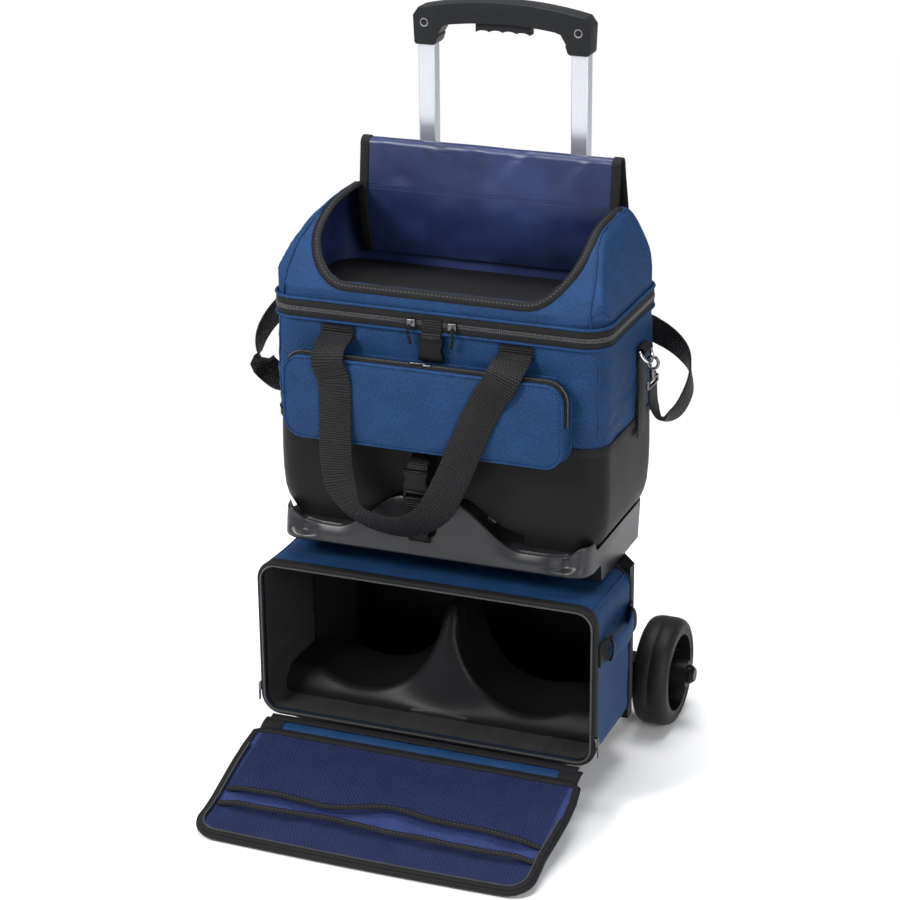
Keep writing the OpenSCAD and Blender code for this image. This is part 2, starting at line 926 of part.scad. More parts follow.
// D-shaped rings of round wire in the tabs' loops, tilted outwards by the hooks that pull on them
module d_rings() {
    color("#c3c6ca")
        for (s = [-1, 1])
            at_side(s)
                translate([loop_x, 0, loop_z])
                    rotate([0, -ring_tilt, 0])
                        union() {
                            translate([0, -ring_r, 0])
                                rotate([-90, 0, 0])
                                    cylinder(r = ring_wire, h = 2 * ring_r);
                            rotate([-90, 0, 90])
                                rotate_extrude(angle = 180)
                                    translate([ring_r, 0])
                                        circle(ring_wire, $fn = 24);
                        }
}

// Swivel snap hooks at the ends of the shoulder strap: an eye round the ring's wire and a bar for the strap
eye_r = 5.6;
hook_x = loop_x + ring_r * sin(ring_tilt) + eye_r - ring_wire - 0.3;
hook_z = loop_z - ring_r * cos(ring_tilt) - 1;
bar_low = 31;
module snap_hooks() {
    color("#1a1a1c")
        for (s = [-1, 1])
            at_side(s)
                translate([hook_x, 0, hook_z])
                    union() {
                        translate([0, -4, 0])
                            rotate([-90, 0, 0])
                                difference() {
                                    cylinder(r = eye_r + 4, h = 8);
                                    translate([0, 0, -1])
                                        cylinder(r = eye_r, h = 10);
                                }
                        translate([0, 0, -24])
                            cylinder(r = 3.2, h = 16.5);
                        block([-3, -20, -bar_low], [3, 20, -22]);
                    }
}

// Shoulder strap: from one hook round behind the tote to the other
strap_z = hook_z - bar_low - 1;
strap_steps = 8;
strap_turn = 6 * strap_steps;
end_x = tote_x + hook_x;
strap_route = [
    [end_x, tab_y, strap_z],
    [end_x + 3, tab_y, strap_z - 26],
    [end_x + 14, tab_y + 4, strap_z - 44],
    [end_x + 32, tab_y + 18, strap_z - 34],
    [end_x + 40, tab_y + 40, strap_z - 4],
    [end_x + 26, tab_y + 64, strap_z + 24],
    [tote_x + 2, tote_back + 9, strap_z + 42],
    [tote_x - 50, tote_back + 12, strap_z + 50],
    [0, tote_back + 12, strap_z + 40],
    [-tote_x + 50, tote_back + 12, strap_z + 52],
    [-tote_x - 2, tote_back + 9, strap_z + 58],
    [-tote_x - 38, tab_y + 44, strap_z + 60],
    [-tote_x - 48, tab_y - 26, strap_z + 52],
    [-tote_x - 50, tab_y - 78, strap_z + 30],
    [-tote_x - 44, tab_y - 88, strap_z],
    [-end_x - 18, tab_y - 40, strap_z - 40],
    [-end_x - 10, tab_y - 4, strap_z - 44],
    [-end_x - 3, tab_y, strap_z - 26],
    [-end_x, tab_y, strap_z]];
module shoulder_strap() {
    route = spline(strap_route, strap_steps);
    n = len(route) - 1;
    color("#17181a")
        band(route, [for (i = [0:n])
            let (f = min(i, n - i) / strap_turn)
                f >= 1 ? [0, 0, 1] : unit([0, f - 1, f])], 36, 2.6);
}

// ---- shoe section (the tote's lid) ----

// Side outline of the shoe section, drawn smaller by inset
module dome_side(inset) {
    polygon(concat(
        [[tote_y + inset, zip_z + inset], [tote_back - inset, zip_z + inset], [tote_back - inset, dome_z - 2],
            [tote_back - 14 - inset, dome_z + 30]],
        arc(back_c, back_r - inset, 20, 90, 5),
        arc(dome_c, dome_r - inset, 98, 152, 10),
        [[tote_y + inset, dome_z + 14]]));
}
module dome_front(inset) {
    w = tote_x - inset;
    r = 26;
    polygon(concat(
        [[-w, zip_z], [w, zip_z], [w, dome_z + 20]],
        arc([w - 14 - r + inset, dome_top - r], r - inset, 0, 90, 5),
        arc([-w + 14 + r - inset, dome_top - r], r - inset, 90, 180, 5),
        [[-w, dome_z + 20]]));
}
module dome_form(inset) {
    intersection() {
        from_side(-tote_x, tote_x)
            dome_side(inset);
        from_front(tote_y, tote_back)
            dome_front(inset);
        translate([0, 0, zip_z])
            linear_extrude(dome_h + 10)
                tote_plan(inset);
    }
}

// U-shaped opening, drawn on a plane that faces forwards and up, bigger by grow
open_point = dome_c + dome_r * [cos(far_end - 0.5), sin(far_end - 0.5)];
open_low = (open_point[0] + open_point[1]) / sqrt(2);
open_high = (tote_back - 48 + dome_top) / sqrt(2);
module opening(grow) {
    w = flap_half - 2 + grow;
    r = 58 + grow;
    low = open_low - grow;
    rotate([45, 0, 0])
        translate([0, 0, (zip_z + 20 - tote_mid) / sqrt(2)])
            linear_extrude(400)
                polygon(concat(arc([-w + r, low + r], r, 180, 270), arc([w - r, low + r], r, 270, 360),
                    [[w, open_high + grow], [-w, open_high + grow]]));
}
module shoe_section() {
    color("#1c4a82")
        difference() {
            dome_form(0);
            dome_form(3.5);
            opening(0);
        }
}
module upper_zip_tape() {
    color("#17181a")
        tote_ring(-2, 2, zip_z + 0.5, dome_z - 1);
}

// Black binding round the opening
module opening_binding() {
    color("#17181a")
        intersection() {
            difference() {
                dome_form(-1.6);
                dome_form(0);
            }
            difference() {
                opening(7);
                opening(0);
            }
            block([-tote_x, tote_y - 5, dome_z + 2], [tote_x, back_c[0], dome_z + 200]);
        }
}

// ---- flap ----

// The flap is drawn closed, lying on the dome, and then swung open.
// Its near part stands up from its hinge; its far part is folded back behind it.
function rev(v) = [for (i = [len(v) - 1:-1:0]) v[i]];

// Turns a shape about an axis along X through a point of the side view
module swing(about, angle) {
    translate([0, about[0], about[1]])
        rotate([angle, 0, 0])
            translate([0, -about[0], -about[1]])
                children();
}

// Strip of cloth across X whose side view follows two lines
module cloth(low_line, high_line) {
    intersection() {
        from_side(-flap_half, flap_half)
            polygon(concat(low_line, rev(high_line)));
        opening(8);
    }
}

function lift(line, by) = [for (p = line) p + [0, by]];
module flap_near() {
    line = [flap_hinge + [-2, 1.5], [back_c[0] + 12, dome_top + 2.4], near_turn, near_end];
    color("#1f2f66")
        swing(flap_hinge, -flap_swing)
            from_side(-flap_half, flap_half)
                polygon(concat(lift(line, -flap_t / 2), rev(lift(line, flap_t / 2))));
}
module flap_far() {
    first = near_end + 0.8 * flap_along;
    color("#1f2f66")
        swing(flap_hinge, -flap_swing)
            swing(fold_axis, -fold_swing)
                cloth(
                    concat([first + [0, -flap_t / 2]], arc(dome_c, dome_r + flap_gap - flap_t / 2, 98, far_end, 10)),
                    concat([first + [0, flap_t / 2]], arc(dome_c, dome_r + flap_gap + flap_t / 2, 98, far_end, 10)));
}

// ---- carry handles and trim ----

handle_z = body_top - 16;
module front_handle() {
    a = tote_y - 5;
    b = tote_y - pocket_out - 5;
    over = handle_z - pocket_z1;
    route = spline([[-132, a, handle_z], [-132, a - 8, handle_z - 5], [-132, a - 23, handle_z - 10],
        [-131, b, handle_z - over + 7], [-129, b - 2, handle_z - over - 6], [-121, b, handle_z - 60],
        [-121, b - 2, handle_z - 130], [-116, b - 4, handle_z - 186], [-92, b - 7, handle_z - 226],
        [-50, b - 9, handle_z - 239], [-14, b - 9, handle_z - 235], [17, b - 7, handle_z - 212],
        [40, b - 4, handle_z - 168], [62, b - 2, handle_z - 114], [85, b, handle_z - 62],
        [103, b - 2, handle_z - over - 6], [109, b, handle_z - over + 7], [112, a - 23, handle_z - 10],
        [113, a - 8, handle_z - 5], [113, a, handle_z]], 4);
    n = len(route);
    color("#17181a")
        band(route, [for (i = [0:n - 1])
            let (p = route[max(i - 1, 0)], q = route[min(i + 1, n - 1)])
                cross(unit(q - p), [0, -1, 0])], web_w, web_t);
}
module rear_handle() {
    y = tote_back + 4;
    color("#17181a")
        difference() {
            from_front(y - web_t / 2, y + web_t / 2)
                translate([0, handle_z - 110])
                    rrect(2 * 118 + web_w, 236, 110);
            from_front(y - 5, y + 5)
                translate([0, handle_z - 110 + web_w / 2])
                    rrect(2 * 118 - web_w, 236, 78);
            block([-200, y - 5, handle_z - 2], [200, y + 5, handle_z + 40]);
        }
}

module zip_slider() {
    y = tote_y - 2;
    block([22, y - 5.4, zip_z - 5], [34, y - 0.4, zip_z + 5]);
    block([26, y - 6.8, zip_z - 24], [30, y - 5.4, zip_z + 4]);
}
module zip_slider_right() {
    color("#2b2b2d") zip_slider();
}
module zip_slider_left() {
    color("#2b2b2d") mirror([1, 0, 0]) zip_slider();
}

// Socket half of a side-release buckle that hangs from the zip's middle on a short tab
module centre_buckle() {
    y = tote_y - 7;
    color("#101113")
        difference() {
            union() {
                block([-14, y + 1.4, zip_z - 18], [14, y + 3.6, zip_z + 8]);
                block([-17, y - 5, zip_z - 48], [17, y + 4, zip_z - 16]);
            }
            block([-14, y - 3.5, zip_z - 49], [14, y + 2.5, zip_z - 26]);
        }
}

lower_bag_fabric();
lower_bag_rim();
compartment_lining();
ball_cradle();
rear_shell();
handle_housing();
base_plate();
front_stand();
stand_pad();
axle_carrier();
axle();
axle_caps();
top_tray();
tray_screws();
outer_tubes();
tube_collars();
side_handle_left();
side_handle_right();
hold_down_strap();
hold_down_tongue();
tyre_left();
tyre_right();
hub_left();
hub_right();
bearings_left();
bearings_right();
middle_tubes();
middle_collars();
inner_tubes();
grip();
grip_screws();
release_bar();
release_spring();
door_panel();
door_binding();
door_mesh_pockets();
door_hinge_strip();
door_slider_left();
door_slider_right();
tote_base();
tote_body();
seam_band();
lower_zip_tape();
front_pocket();
side_tabs();
d_rings();
snap_hooks();
shoulder_strap();
hold_down_socket();
shoe_section();
upper_zip_tape();
opening_binding();
flap_near();
flap_far();
front_handle();
rear_handle();
zip_slider_left();
zip_slider_right();
centre_buckle();
pocket_slider();
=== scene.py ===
"""Looks of the bowling ball bag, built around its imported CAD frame."""

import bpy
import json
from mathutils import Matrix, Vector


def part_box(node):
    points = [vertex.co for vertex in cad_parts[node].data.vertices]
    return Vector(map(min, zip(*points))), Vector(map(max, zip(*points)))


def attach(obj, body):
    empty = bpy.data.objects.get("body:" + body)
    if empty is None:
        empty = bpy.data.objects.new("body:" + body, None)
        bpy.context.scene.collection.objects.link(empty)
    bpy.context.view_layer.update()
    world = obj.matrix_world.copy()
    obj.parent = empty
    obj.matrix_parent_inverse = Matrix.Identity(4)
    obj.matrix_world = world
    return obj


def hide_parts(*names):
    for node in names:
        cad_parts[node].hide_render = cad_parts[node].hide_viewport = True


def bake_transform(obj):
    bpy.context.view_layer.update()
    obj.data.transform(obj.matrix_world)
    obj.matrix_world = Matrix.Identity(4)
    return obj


bl_info = {
    "name": "Bowling ball bag",
    "version": (1, 0, 0),
    "blender": (4, 5, 0),
    "location": "View3D > Sidebar > Bag",
    "description": "Builds a two-wheel bowling bag roller with its lift-off tote",
    "category": "Object",
}

import json
from math import atan2, cos, exp, pi, radians, sin, sqrt

import bmesh
import bpy
from bpy.props import FloatProperty, FloatVectorProperty, PointerProperty
from bpy.types import Operator, Panel, PropertyGroup
from mathutils import Matrix, Vector, noise

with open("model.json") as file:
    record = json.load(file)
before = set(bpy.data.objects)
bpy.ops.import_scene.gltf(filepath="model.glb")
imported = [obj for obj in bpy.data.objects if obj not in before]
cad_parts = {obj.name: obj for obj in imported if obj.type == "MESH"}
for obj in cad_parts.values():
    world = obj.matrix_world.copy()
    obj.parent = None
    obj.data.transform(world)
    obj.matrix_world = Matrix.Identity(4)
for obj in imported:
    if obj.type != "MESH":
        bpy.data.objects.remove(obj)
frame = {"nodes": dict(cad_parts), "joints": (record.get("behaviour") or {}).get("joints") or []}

MM = 0.001
TOTE_HALF = 228.0  # half the tote's width
TOTE_BACK = 226.0  # Y of the tote's rear wall
TAU = 2 * pi


def cad(node):
    """Lowest and highest corner of a CAD node, in millimetres."""
    low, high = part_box(node)
    return low / MM, high / MM


# ---- settings ----


class BagSettings(PropertyGroup):
    """Colours and cloth of the bag."""

    blue: FloatVectorProperty(
        name="Blue", description="Colour of the woven cloth", subtype="COLOR",
        default=(0.0070, 0.0280, 0.0800), min=0, max=1)
    navy: FloatVectorProperty(
        name="Navy", description="Colour of the coated flap, the door's inside and its netting",
        subtype="COLOR", default=(0.0170, 0.0260, 0.0850), min=0, max=1)
    black: FloatVectorProperty(
        name="Black", description="Colour of webbing, tapes and bindings", subtype="COLOR",
        default=(0.0062, 0.0062, 0.0068), min=0, max=1)
    plastic: FloatVectorProperty(
        name="Plastic", description="Colour of the moulded parts", subtype="COLOR",
        default=(0.0048, 0.0050, 0.0054), min=0, max=1)
    weave: FloatProperty(
        name="Weave", description="Distance between the threads of the blue cloth",
        unit="LENGTH", default=0.0016, min=0.0005, max=0.004)
    wrinkle: FloatProperty(
        name="Wrinkles", description="Height of the cloth's folds", unit="LENGTH",
        default=0.0022, min=0, max=0.006)


class StageSettings(PropertyGroup):
    """Camera, floor and lights."""

    azimuth: FloatProperty(
        name="Azimuth", description="Camera's turn to the right of the front", subtype="ANGLE",
        default=radians(21.6))
    elevation: FloatProperty(
        name="Elevation", description="Camera's height angle", subtype="ANGLE",
        default=radians(21.3))
    roll: FloatProperty(name="Roll", description="Camera's roll", subtype="ANGLE", default=radians(-0.5))
    place: FloatVectorProperty(
        name="Place", description="Camera's place", subtype="TRANSLATION", unit="LENGTH",
        default=(1.1733, -2.9114, 1.6878))
    lens: FloatProperty(name="Lens", description="Focal length in millimetres", default=104.0, min=10)
    floor: FloatVectorProperty(
        name="Floor", description="Colour of the floor", subtype="COLOR", default=(0.9, 0.9, 0.9),
        min=0, max=1)


def bag():
    return bpy.context.scene.bag_settings


# ---- shader maths ----


class Sock:
    """One shader output that works in ordinary arithmetic."""

    def __init__(self, mat, out):
        self.mat, self.out = mat, out

    def math(self, operation, *others, clamp=False):
        return self.mat.node("ShaderNodeMath", self, *others, operation=operation, use_clamp=clamp)

    def __add__(self, other):
        return self.math("ADD", other)

    __radd__ = __add__

    def __mul__(self, other):
        return self.math("MULTIPLY", other)

    __rmul__ = __mul__

    def __sub__(self, other):
        return self.math("SUBTRACT", other)

    def __rsub__(self, other):
        return self.mat.node("ShaderNodeMath", other, self, operation="SUBTRACT")

    def __truediv__(self, other):
        return self.math("DIVIDE", other)

    def __pow__(self, other):
        return self.math("POWER", other)

    def __lt__(self, other):
        return self.math("LESS_THAN", other)

    def __gt__(self, other):
        return self.math("GREATER_THAN", other)

    def sin(self):
        return self.math("SINE")

    def abs(self):
        return self.math("ABSOLUTE")

    def clamp(self):
        return self.math("ADD", 0.0, clamp=True)

    def step(self, low, high):
        """0 below low, 1 above high, smooth between."""
        return self.mat.node(
            "ShaderNodeMapRange", self, low, high, 0.0, 1.0, interpolation_type="SMOOTHSTEP")

    def xyz(self):
        node = self.mat.tree.nodes.new("ShaderNodeSeparateXYZ")
        self.mat.tree.links.new(self.out, node.inputs[0])
        return [Sock(self.mat, o) for o in node.outputs]


class Mat:
    """A material under construction."""

    def __init__(self, name, color=(0.5, 0.5, 0.5), rough=0.5, metal=0.0, **fixed):
        self.data = bpy.data.materials.new(name)
        self.data.use_nodes = True
        self.tree = self.data.node_tree
        self.bsdf = self.tree.nodes["Principled BSDF"]
        self.bsdf.inputs["Base Color"].default_value = (*color, 1)
        self.bsdf.inputs["Roughness"].default_value = rough
        self.bsdf.inputs["Metallic"].default_value = metal
        for key, value in fixed.items():
            self.bsdf.inputs[key.replace("_", " ")].default_value = value

    def node(self, kind, *inputs, output=0, **props):
        """Adds a node; inputs go to its sockets in order, None leaves one as it is."""
        node = self.tree.nodes.new(kind)
        for key, value in props.items():
            setattr(node, key, value)
        for socket, value in zip(node.inputs, inputs):
            if isinstance(value, Sock):
                self.tree.links.new(value.out, socket)
            elif value is not None:
                socket.default_value = value
        return Sock(self, node.outputs[output])

    def place(self, which="Object"):
        node = self.tree.nodes.new("ShaderNodeTexCoord")
        return Sock(self, node.outputs[which])

    def noise(self, vector, scale, detail=2.0, rough=0.5):
        node = self.tree.nodes.new("ShaderNodeTexNoise")
        self.tree.links.new(vector.out, node.inputs["Vector"])
        node.inputs["Scale"].default_value = scale
        node.inputs["Detail"].default_value = detail
        node.inputs["Roughness"].default_value = rough
        return Sock(self, node.outputs[0])

    def stretch(self, vector, x, y, z):
        return self.node("ShaderNodeVectorMath", vector, (x, y, z), operation="MULTIPLY")

    def mix(self, factor, a, b):
        """Colour mix by factor."""
        node = self.tree.nodes.new("ShaderNodeMix")
        node.data_type = "RGBA"
        for socket, value in ((node.inputs[0], factor), (node.inputs[6], a), (node.inputs[7], b)):
            if isinstance(value, Sock):
                self.tree.links.new(value.out, socket)
            else:
                socket.default_value = value if isinstance(value, (int, float)) else (*value, 1)
        return Sock(self, node.outputs[2])

    def feed(self, name, value):
        self.tree.links.new(value.out, self.bsdf.inputs[name])

    def bump(self, height, strength=0.5, distance=0.001):
        node = self.tree.nodes.new("ShaderNodeBump")
        node.inputs["Strength"].default_value = strength
        node.inputs["Distance"].default_value = distance
        self.tree.links.new(height.out, node.inputs["Height"])
        self.tree.links.new(node.outputs[0], self.bsdf.inputs["Normal"])


def shade(color, by):
    return tuple(min(1.0, c * by) for c in color)


_made = {}


def once(maker):
    """Makes each material a single time."""

    def get(*args):
        key = (maker.__name__, args)
        if key not in _made:
            _made[key] = maker(*args).data
        return _made[key]

    return get


@once
def cloth(tone="blue"):
    """Woven cloth: threads follow the piece's own UV map, which is in metres."""
    color = tuple(getattr(bag(), tone))
    m = Mat(f"cloth_{tone}", color, 0.62, Specular_IOR_Level=0.12)
    uv = m.place("UV")
    u, v, _ = uv.xyz()
    k = 2 * pi / bag().weave
    threads = (u * k).sin() * (v * k).sin()
    slub = m.noise(m.stretch(uv, 1, 0.25, 1), 900, 1)
    mottle = m.noise(uv, 26, 3)
    speck = m.noise(m.stretch(uv, 1, 1.4, 1), 420, 2, 0.7)
    light = threads * 0.14 + slub * 0.3 + speck * 0.8 + mottle * 0.25
    m.feed("Base Color", m.mix(light.step(0.38, 0.98), shade(color, 0.42), shade(color, 1.9)))
    m.feed("Roughness", mottle * 0.2 + 0.52)
    folds = m.noise(m.stretch(uv, 1, 1.6, 1), 9, 3)
    m.bump(threads * 0.12 + slub * 0.3 + folds * 3.2, 0.55, 0.0012)
    return m


@once
def coated():
    """Navy coated cloth with a soft gloss, shallow creases and painted highlights in broad patches."""
    color = tuple(bag().navy)
    m = Mat("coated_navy", color, 0.34, Specular_IOR_Level=0.36)
    uv = m.place("UV")
    broad = m.noise(uv, 7, 3, 0.55)
    fine = m.noise(uv, 900, 2)
    # the broad crease noise lightens and darkens the base colour in patches: painted highlights on the crests
    # and painted shade in the troughs, standing in for the gloss
    m.feed("Base Color", m.mix(broad.step(0.3, 0.75), shade(color, 0.6), shade(color, 1.45)))
    m.feed("Roughness", broad * 0.16 + fine * 0.1 + 0.22)
    m.bump(broad * 4.0 + fine * 0.12, 0.6, 0.002)
    return m


@once
def webbing():
    """Ribbed black webbing: ribs run across it, V is its length."""
    color = tuple(bag().black)
    m = Mat("webbing_black", color, 0.5, Specular_IOR_Level=0.12)
    uv = m.place("UV")
    u, v, _ = uv.xyz()
    ribs = (v * (2 * pi / 0.0034)).sin()
    cross = (u * (2 * pi / 0.0042) + v * (2 * pi / 0.0068)).sin()
    grain = m.noise(uv, 620, 2)
    both = ribs * 0.35 + cross * 0.2 + grain * 0.8
    m.feed("Base Color", m.mix(both.step(0.05, 1.0), shade(color, 0.3), shade(color, 3.4)))
    m.bump(both, 0.9, 0.0009)
    return m


@once
def tape():
    """Fine-ribbed black binding tape."""
    color = tuple(bag().black)
    m = Mat("binding_black", color, 0.6, Specular_IOR_Level=0.12)
    uv = m.place("UV")
    _, v, _ = uv.xyz()
    ribs = (v * (2 * pi / 0.0018)).sin()
    grain = m.noise(uv, 700, 2)
    both = ribs * 0.35 + grain
    m.feed("Base Color", m.mix(both.step(0.1, 1.1), shade(color, 0.5), shade(color, 3.0)))
    m.bump(both, 0.7, 0.0006)
    return m


@once
def stitched():
    """Binding tape with a line of pale stitches along its middle: U 0 is the middle, V the length."""
    color = tuple(bag().black)
    m = Mat("binding_stitched", color, 0.6, Specular_IOR_Level=0.12)
    uv = m.place("UV")
    u, v, _ = uv.xyz()
    dash = (v * (2 * pi / 0.0052)).sin() > 0.25
    line = ((u - 0.0008).abs() < 0.00042) * dash
    grain = m.noise(uv, 700, 2)
    m.feed("Base Color", m.mix(line, m.mix(grain, shade(color, 0.6), shade(color, 1.9)),
                               (0.075, 0.077, 0.082)))
    m.bump(grain * 0.6 + line, 0.5, 0.0006)
    return m


@once
def zip_teeth():
    """Coil of a zip: fine teeth along V."""
    m = Mat("zip_teeth", (0.02, 0.02, 0.021), 0.4, Specular_IOR_Level=0.6)
    uv = m.place("UV")
    _, v, _ = uv.xyz()
    teeth = (v * (2 * pi / 0.0024)).sin()
    m.feed("Base Color", m.mix(teeth.step(-0.6, 0.8), (0.004, 0.004, 0.004), (0.075, 0.075, 0.08)))
    m.bump(teeth, 0.9, 0.0008)
    return m


@once
def moulded(name="moulded_black", rough=0.46, lift=1.0):
    """Injection-moulded plastic with a fine grain."""
    color = shade(tuple(bag().plastic), lift)
    m = Mat(name, color, rough, Specular_IOR_Level=0.11)
    p = m.place()
    grain = m.noise(p, 900, 2)
    broad = m.noise(p, 14, 3)
    m.feed("Base Color", m.mix(broad, shade(color, 0.85), shade(color, 1.2)))
    m.feed("Roughness", broad * 0.12 + grain * 0.1 + (rough - 0.11))
    m.bump(grain * 0.25 + broad * 0.5, 0.35, 0.0006)
    return m


@once
def satin():
    """Smooth satin plastic of the tray, with faint flow marks."""
    m = Mat("satin_black", (0.011, 0.0115, 0.0125), 0.36, Specular_IOR_Level=0.4)
    p = m.place()
    broad = m.noise(m.stretch(p, 1, 1, 2.5), 9, 3)
    grain = m.noise(p, 1300, 1)
    m.feed("Roughness", broad * 0.16 + grain * 0.08 + 0.27)
    m.feed("Base Color", m.mix(broad, (0.008, 0.0085, 0.0095), (0.016, 0.0165, 0.018)))
    m.bump(grain * 0.12 + broad * 1.2, 0.3, 0.001)
    return m


@once
def rubber():
    """Tyre rubber, lightly scuffed."""
    m = Mat("tyre_rubber", (0.006, 0.006, 0.0063), 0.46, Specular_IOR_Level=0.22)
    p = m.place()
    grain = m.noise(p, 700, 2)
    scuff = m.noise(p, 22, 4, 0.65)
    m.feed("Base Color", m.mix(scuff.step(0.45, 0.8), (0.006, 0.006, 0.0063), (0.017, 0.017, 0.0175)))
    m.feed("Roughness", scuff * 0.25 + 0.4)
    m.bump(grain * 0.4 + scuff * 0.5, 0.4, 0.0006)
    return m


@once
def silver():
    """Satin anodised tube with lengthwise brushing."""
    m = Mat("tube_silver", (0.80, 0.82, 0.85), 0.32, 0.85)
    p = m.place()
    brush = m.noise(m.stretch(p, 1, 1, 0.02), 1600, 2)
    m.feed("Roughness", brush * 0.12 + 0.27)
    m.feed("Base Color", m.mix(brush, (0.60, 0.62, 0.66), (0.76, 0.78, 0.82)))
    m.bump(brush, 0.12, 0.0003)
    return m


@once
def steel(name="steel", rough=0.28, value=0.62):
    m = Mat(name, (value, value, value * 1.02), rough, 1.0)
    p = m.place()
    wear = m.noise(p, 180, 3)
    m.feed("Roughness", wear * 0.2 + (rough - 0.08))
    return m


@once
def netting():
    """Navy warp-knit netting: two sets of slanting threads with see-through holes between them."""
    color = shade(tuple(bag().navy), 0.14)
    m = Mat("navy_mesh", color, 0.6, Specular_IOR_Level=0.1)
    uv = m.place("UV")
    u, v, _ = uv.xyz()
    k = pi / 0.0046
    a = (u * k + v * (k * 0.7)).sin().abs()
    b = (u * k - v * (k * 0.7)).sin().abs()
    thread = 1.0 - a.step(0.16, 0.34) * b.step(0.16, 0.34)
    m.feed("Alpha", thread * 0.95 + 0.04)
    m.feed("Base Color", m.mix(m.noise(uv, 500, 2), shade(color, 0.6), shade(color, 1.6)))
    return m


# ---- shapes ----


class Shape:
    """Collects points in millimetres, and faces with a UV map in metres."""

    def __init__(self):
        self.points, self.faces, self.uvs = [], [], []

    def grid(self, rows, close=False, flip=False):
        """Quads between rows of points; close joins each row's end to its start."""
        base, n = len(self.points), len(rows[0])
        along = [0.0]
        for a, b in zip(rows, rows[1:]):
            along.append(along[-1] + sum((b[k] - a[k]).length for k in range(0, n, max(1, n // 8)))
                         / len(range(0, n, max(1, n // 8))))
        mid = rows[len(rows) // 2]
        across = [0.0]
        for k in range(1, n + 1):
            across.append(across[-1] + (mid[k % n] - mid[k - 1]).length)
        for row in rows:
            self.points += [Vector(p) for p in row]
        for i in range(len(rows) - 1):
            for k in range(n if close else n - 1):
                k2 = (k + 1) % n
                f = [base + i * n + k, base + i * n + k2, base + (i + 1) * n + k2, base + (i + 1) * n + k]
                w = [(across[k], along[i]), (across[k + 1], along[i]),
                     (across[k + 1], along[i + 1]), (across[k], along[i + 1])]
                if flip:
                    f, w = f[::-1], w[::-1]
                self.faces.append(f)
                self.uvs.append([(a * MM, b * MM) for a, b in w])
        return base

    def fan(self, ring, flip=False):
        """Flat cap over a ring of points."""
        base = len(self.points)
        self.points += [Vector(p) for p in ring]
        f = list(range(base, base + len(ring)))
        self.faces.append(f[::-1] if flip else f)
        self.uvs.append([((self.points[i].x) * MM, (self.points[i].y + self.points[i].z) * MM)
                         for i in self.faces[-1]])

    def object(self, name, material, body, smooth=True, weld=True, angle=50):
        mesh = bpy.data.meshes.new(name)
        mesh.from_pydata([p * MM for p in self.points], [], self.faces)
        layer = mesh.uv_layers.new(name="UVMap")
        i = 0
        for w in self.uvs:
            for c in w:
                layer.data[i].uv = c
                i += 1
        bm = bmesh.new()
        bm.from_mesh(mesh)
        if weld:
            bmesh.ops.remove_doubles(bm, verts=bm.verts, dist=0.00002)
        bmesh.ops.recalc_face_normals(bm, faces=bm.faces)
        bm.to_mesh(mesh)
        bm.free()
        return finish(name, mesh, material, body, smooth, angle)


def finish(name, mesh, material, body, smooth=True, angle=50):
    obj = bpy.data.objects.new(name, mesh)
    bpy.context.scene.collection.objects.link(obj)
    mesh.materials.append(material)
    if smooth:
        mesh.shade_smooth()
        mesh.set_sharp_from_angle(angle=radians(angle))
    if body:
        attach(obj, body)
    return obj


def rrect(w, d, r, n=8, step=14.0, like=None):
    """Rounded rectangle as (point, outward normal) pairs; like gives the size that sets the count."""
    lw, ld, lr = like or (w, d, r)
    out = []
    for cx, cy, a0 in ((1, 1, 0), (-1, 1, 90), (-1, -1, 180), (1, -1, 270)):
        c = Vector((cx * (w / 2 - r), cy * (d / 2 - r)))
        for k in range(n + 1):
            a = radians(a0 + 90 * k / n)
            q = Vector((cos(a), sin(a)))
            out.append((c + q * r, q))
        nx, ny = {0: (-1, 1), 90: (-1, -1), 180: (1, -1), 270: (1, 1)}[a0]
        e = Vector((nx * (w / 2 - r), ny * (d / 2 - r))) + q * r
        s = out[-1][0]
        long = (lw if a0 in (0, 180) else ld) - 2 * lr
        count = max(1, int(long // step))
        for k in range(1, count):
            out.append((s.lerp(e, k / count), q.copy()))
    return out


def wave(p, scale, seed=0.0):
    """Smooth noise from -1 to 1 at a point in millimetres."""
    return noise.noise(Vector(p) / scale + Vector((seed, seed * 1.7, seed * 0.3)))


def smooth_step(x, low, high):
    t = min(1.0, max(0.0, (x - low) / (high - low)))
    return t * t * (3 - 2 * t)


def curve(points, steps=6, closed=False):
    """Smooth curve through points."""
    p = [Vector(q) for q in points]
    n = len(p)
    out = []
    for i in range(n if closed else n - 1):
        if closed:
            a, b, c, d = p[(i - 1) % n], p[i], p[(i + 1) % n], p[(i + 2) % n]
        else:
            a, b, c, d = p[max(i - 1, 0)], p[i], p[i + 1], p[min(i + 2, n - 1)]
        for k in range(steps):
            t = k / steps
            out.append(0.5 * (2 * b + (c - a) * t + (2 * a - 5 * b + 4 * c - d) * t * t
                              + (3 * b - a - 3 * c + d) * t ** 3))
    if not closed:
        out.append(p[-1])
    return out


def sweep(shape, path, sides, profile, closed=False):
    """Sweeps a profile of (side, normal) offsets along a path; sides are its width directions."""
    rows = []
    for i, (p, t) in enumerate(zip(path, directions(path, closed))):
        s = sides[i] if isinstance(sides, list) else sides
        s = (s - t * s.dot(t)).normalized()
        q = t.cross(s)
        rows.append([p + s * x + q * y for x, y in profile])
    if closed:
        rows.append(rows[0])
    start = len(shape.uvs)
    shape.grid(rows, close=True)
    m = len(profile)
    for j in range(start, len(shape.uvs)):
        k = (j - start) % m
        u = [profile[k][0], profile[(k + 1) % m][0], profile[(k + 1) % m][0], profile[k][0]]
        shape.uvs[j] = [(u[c] * MM, shape.uvs[j][c][1]) for c in range(4)]
    if not closed:
        shape.fan(rows[0], flip=True)
        shape.fan(rows[-1])


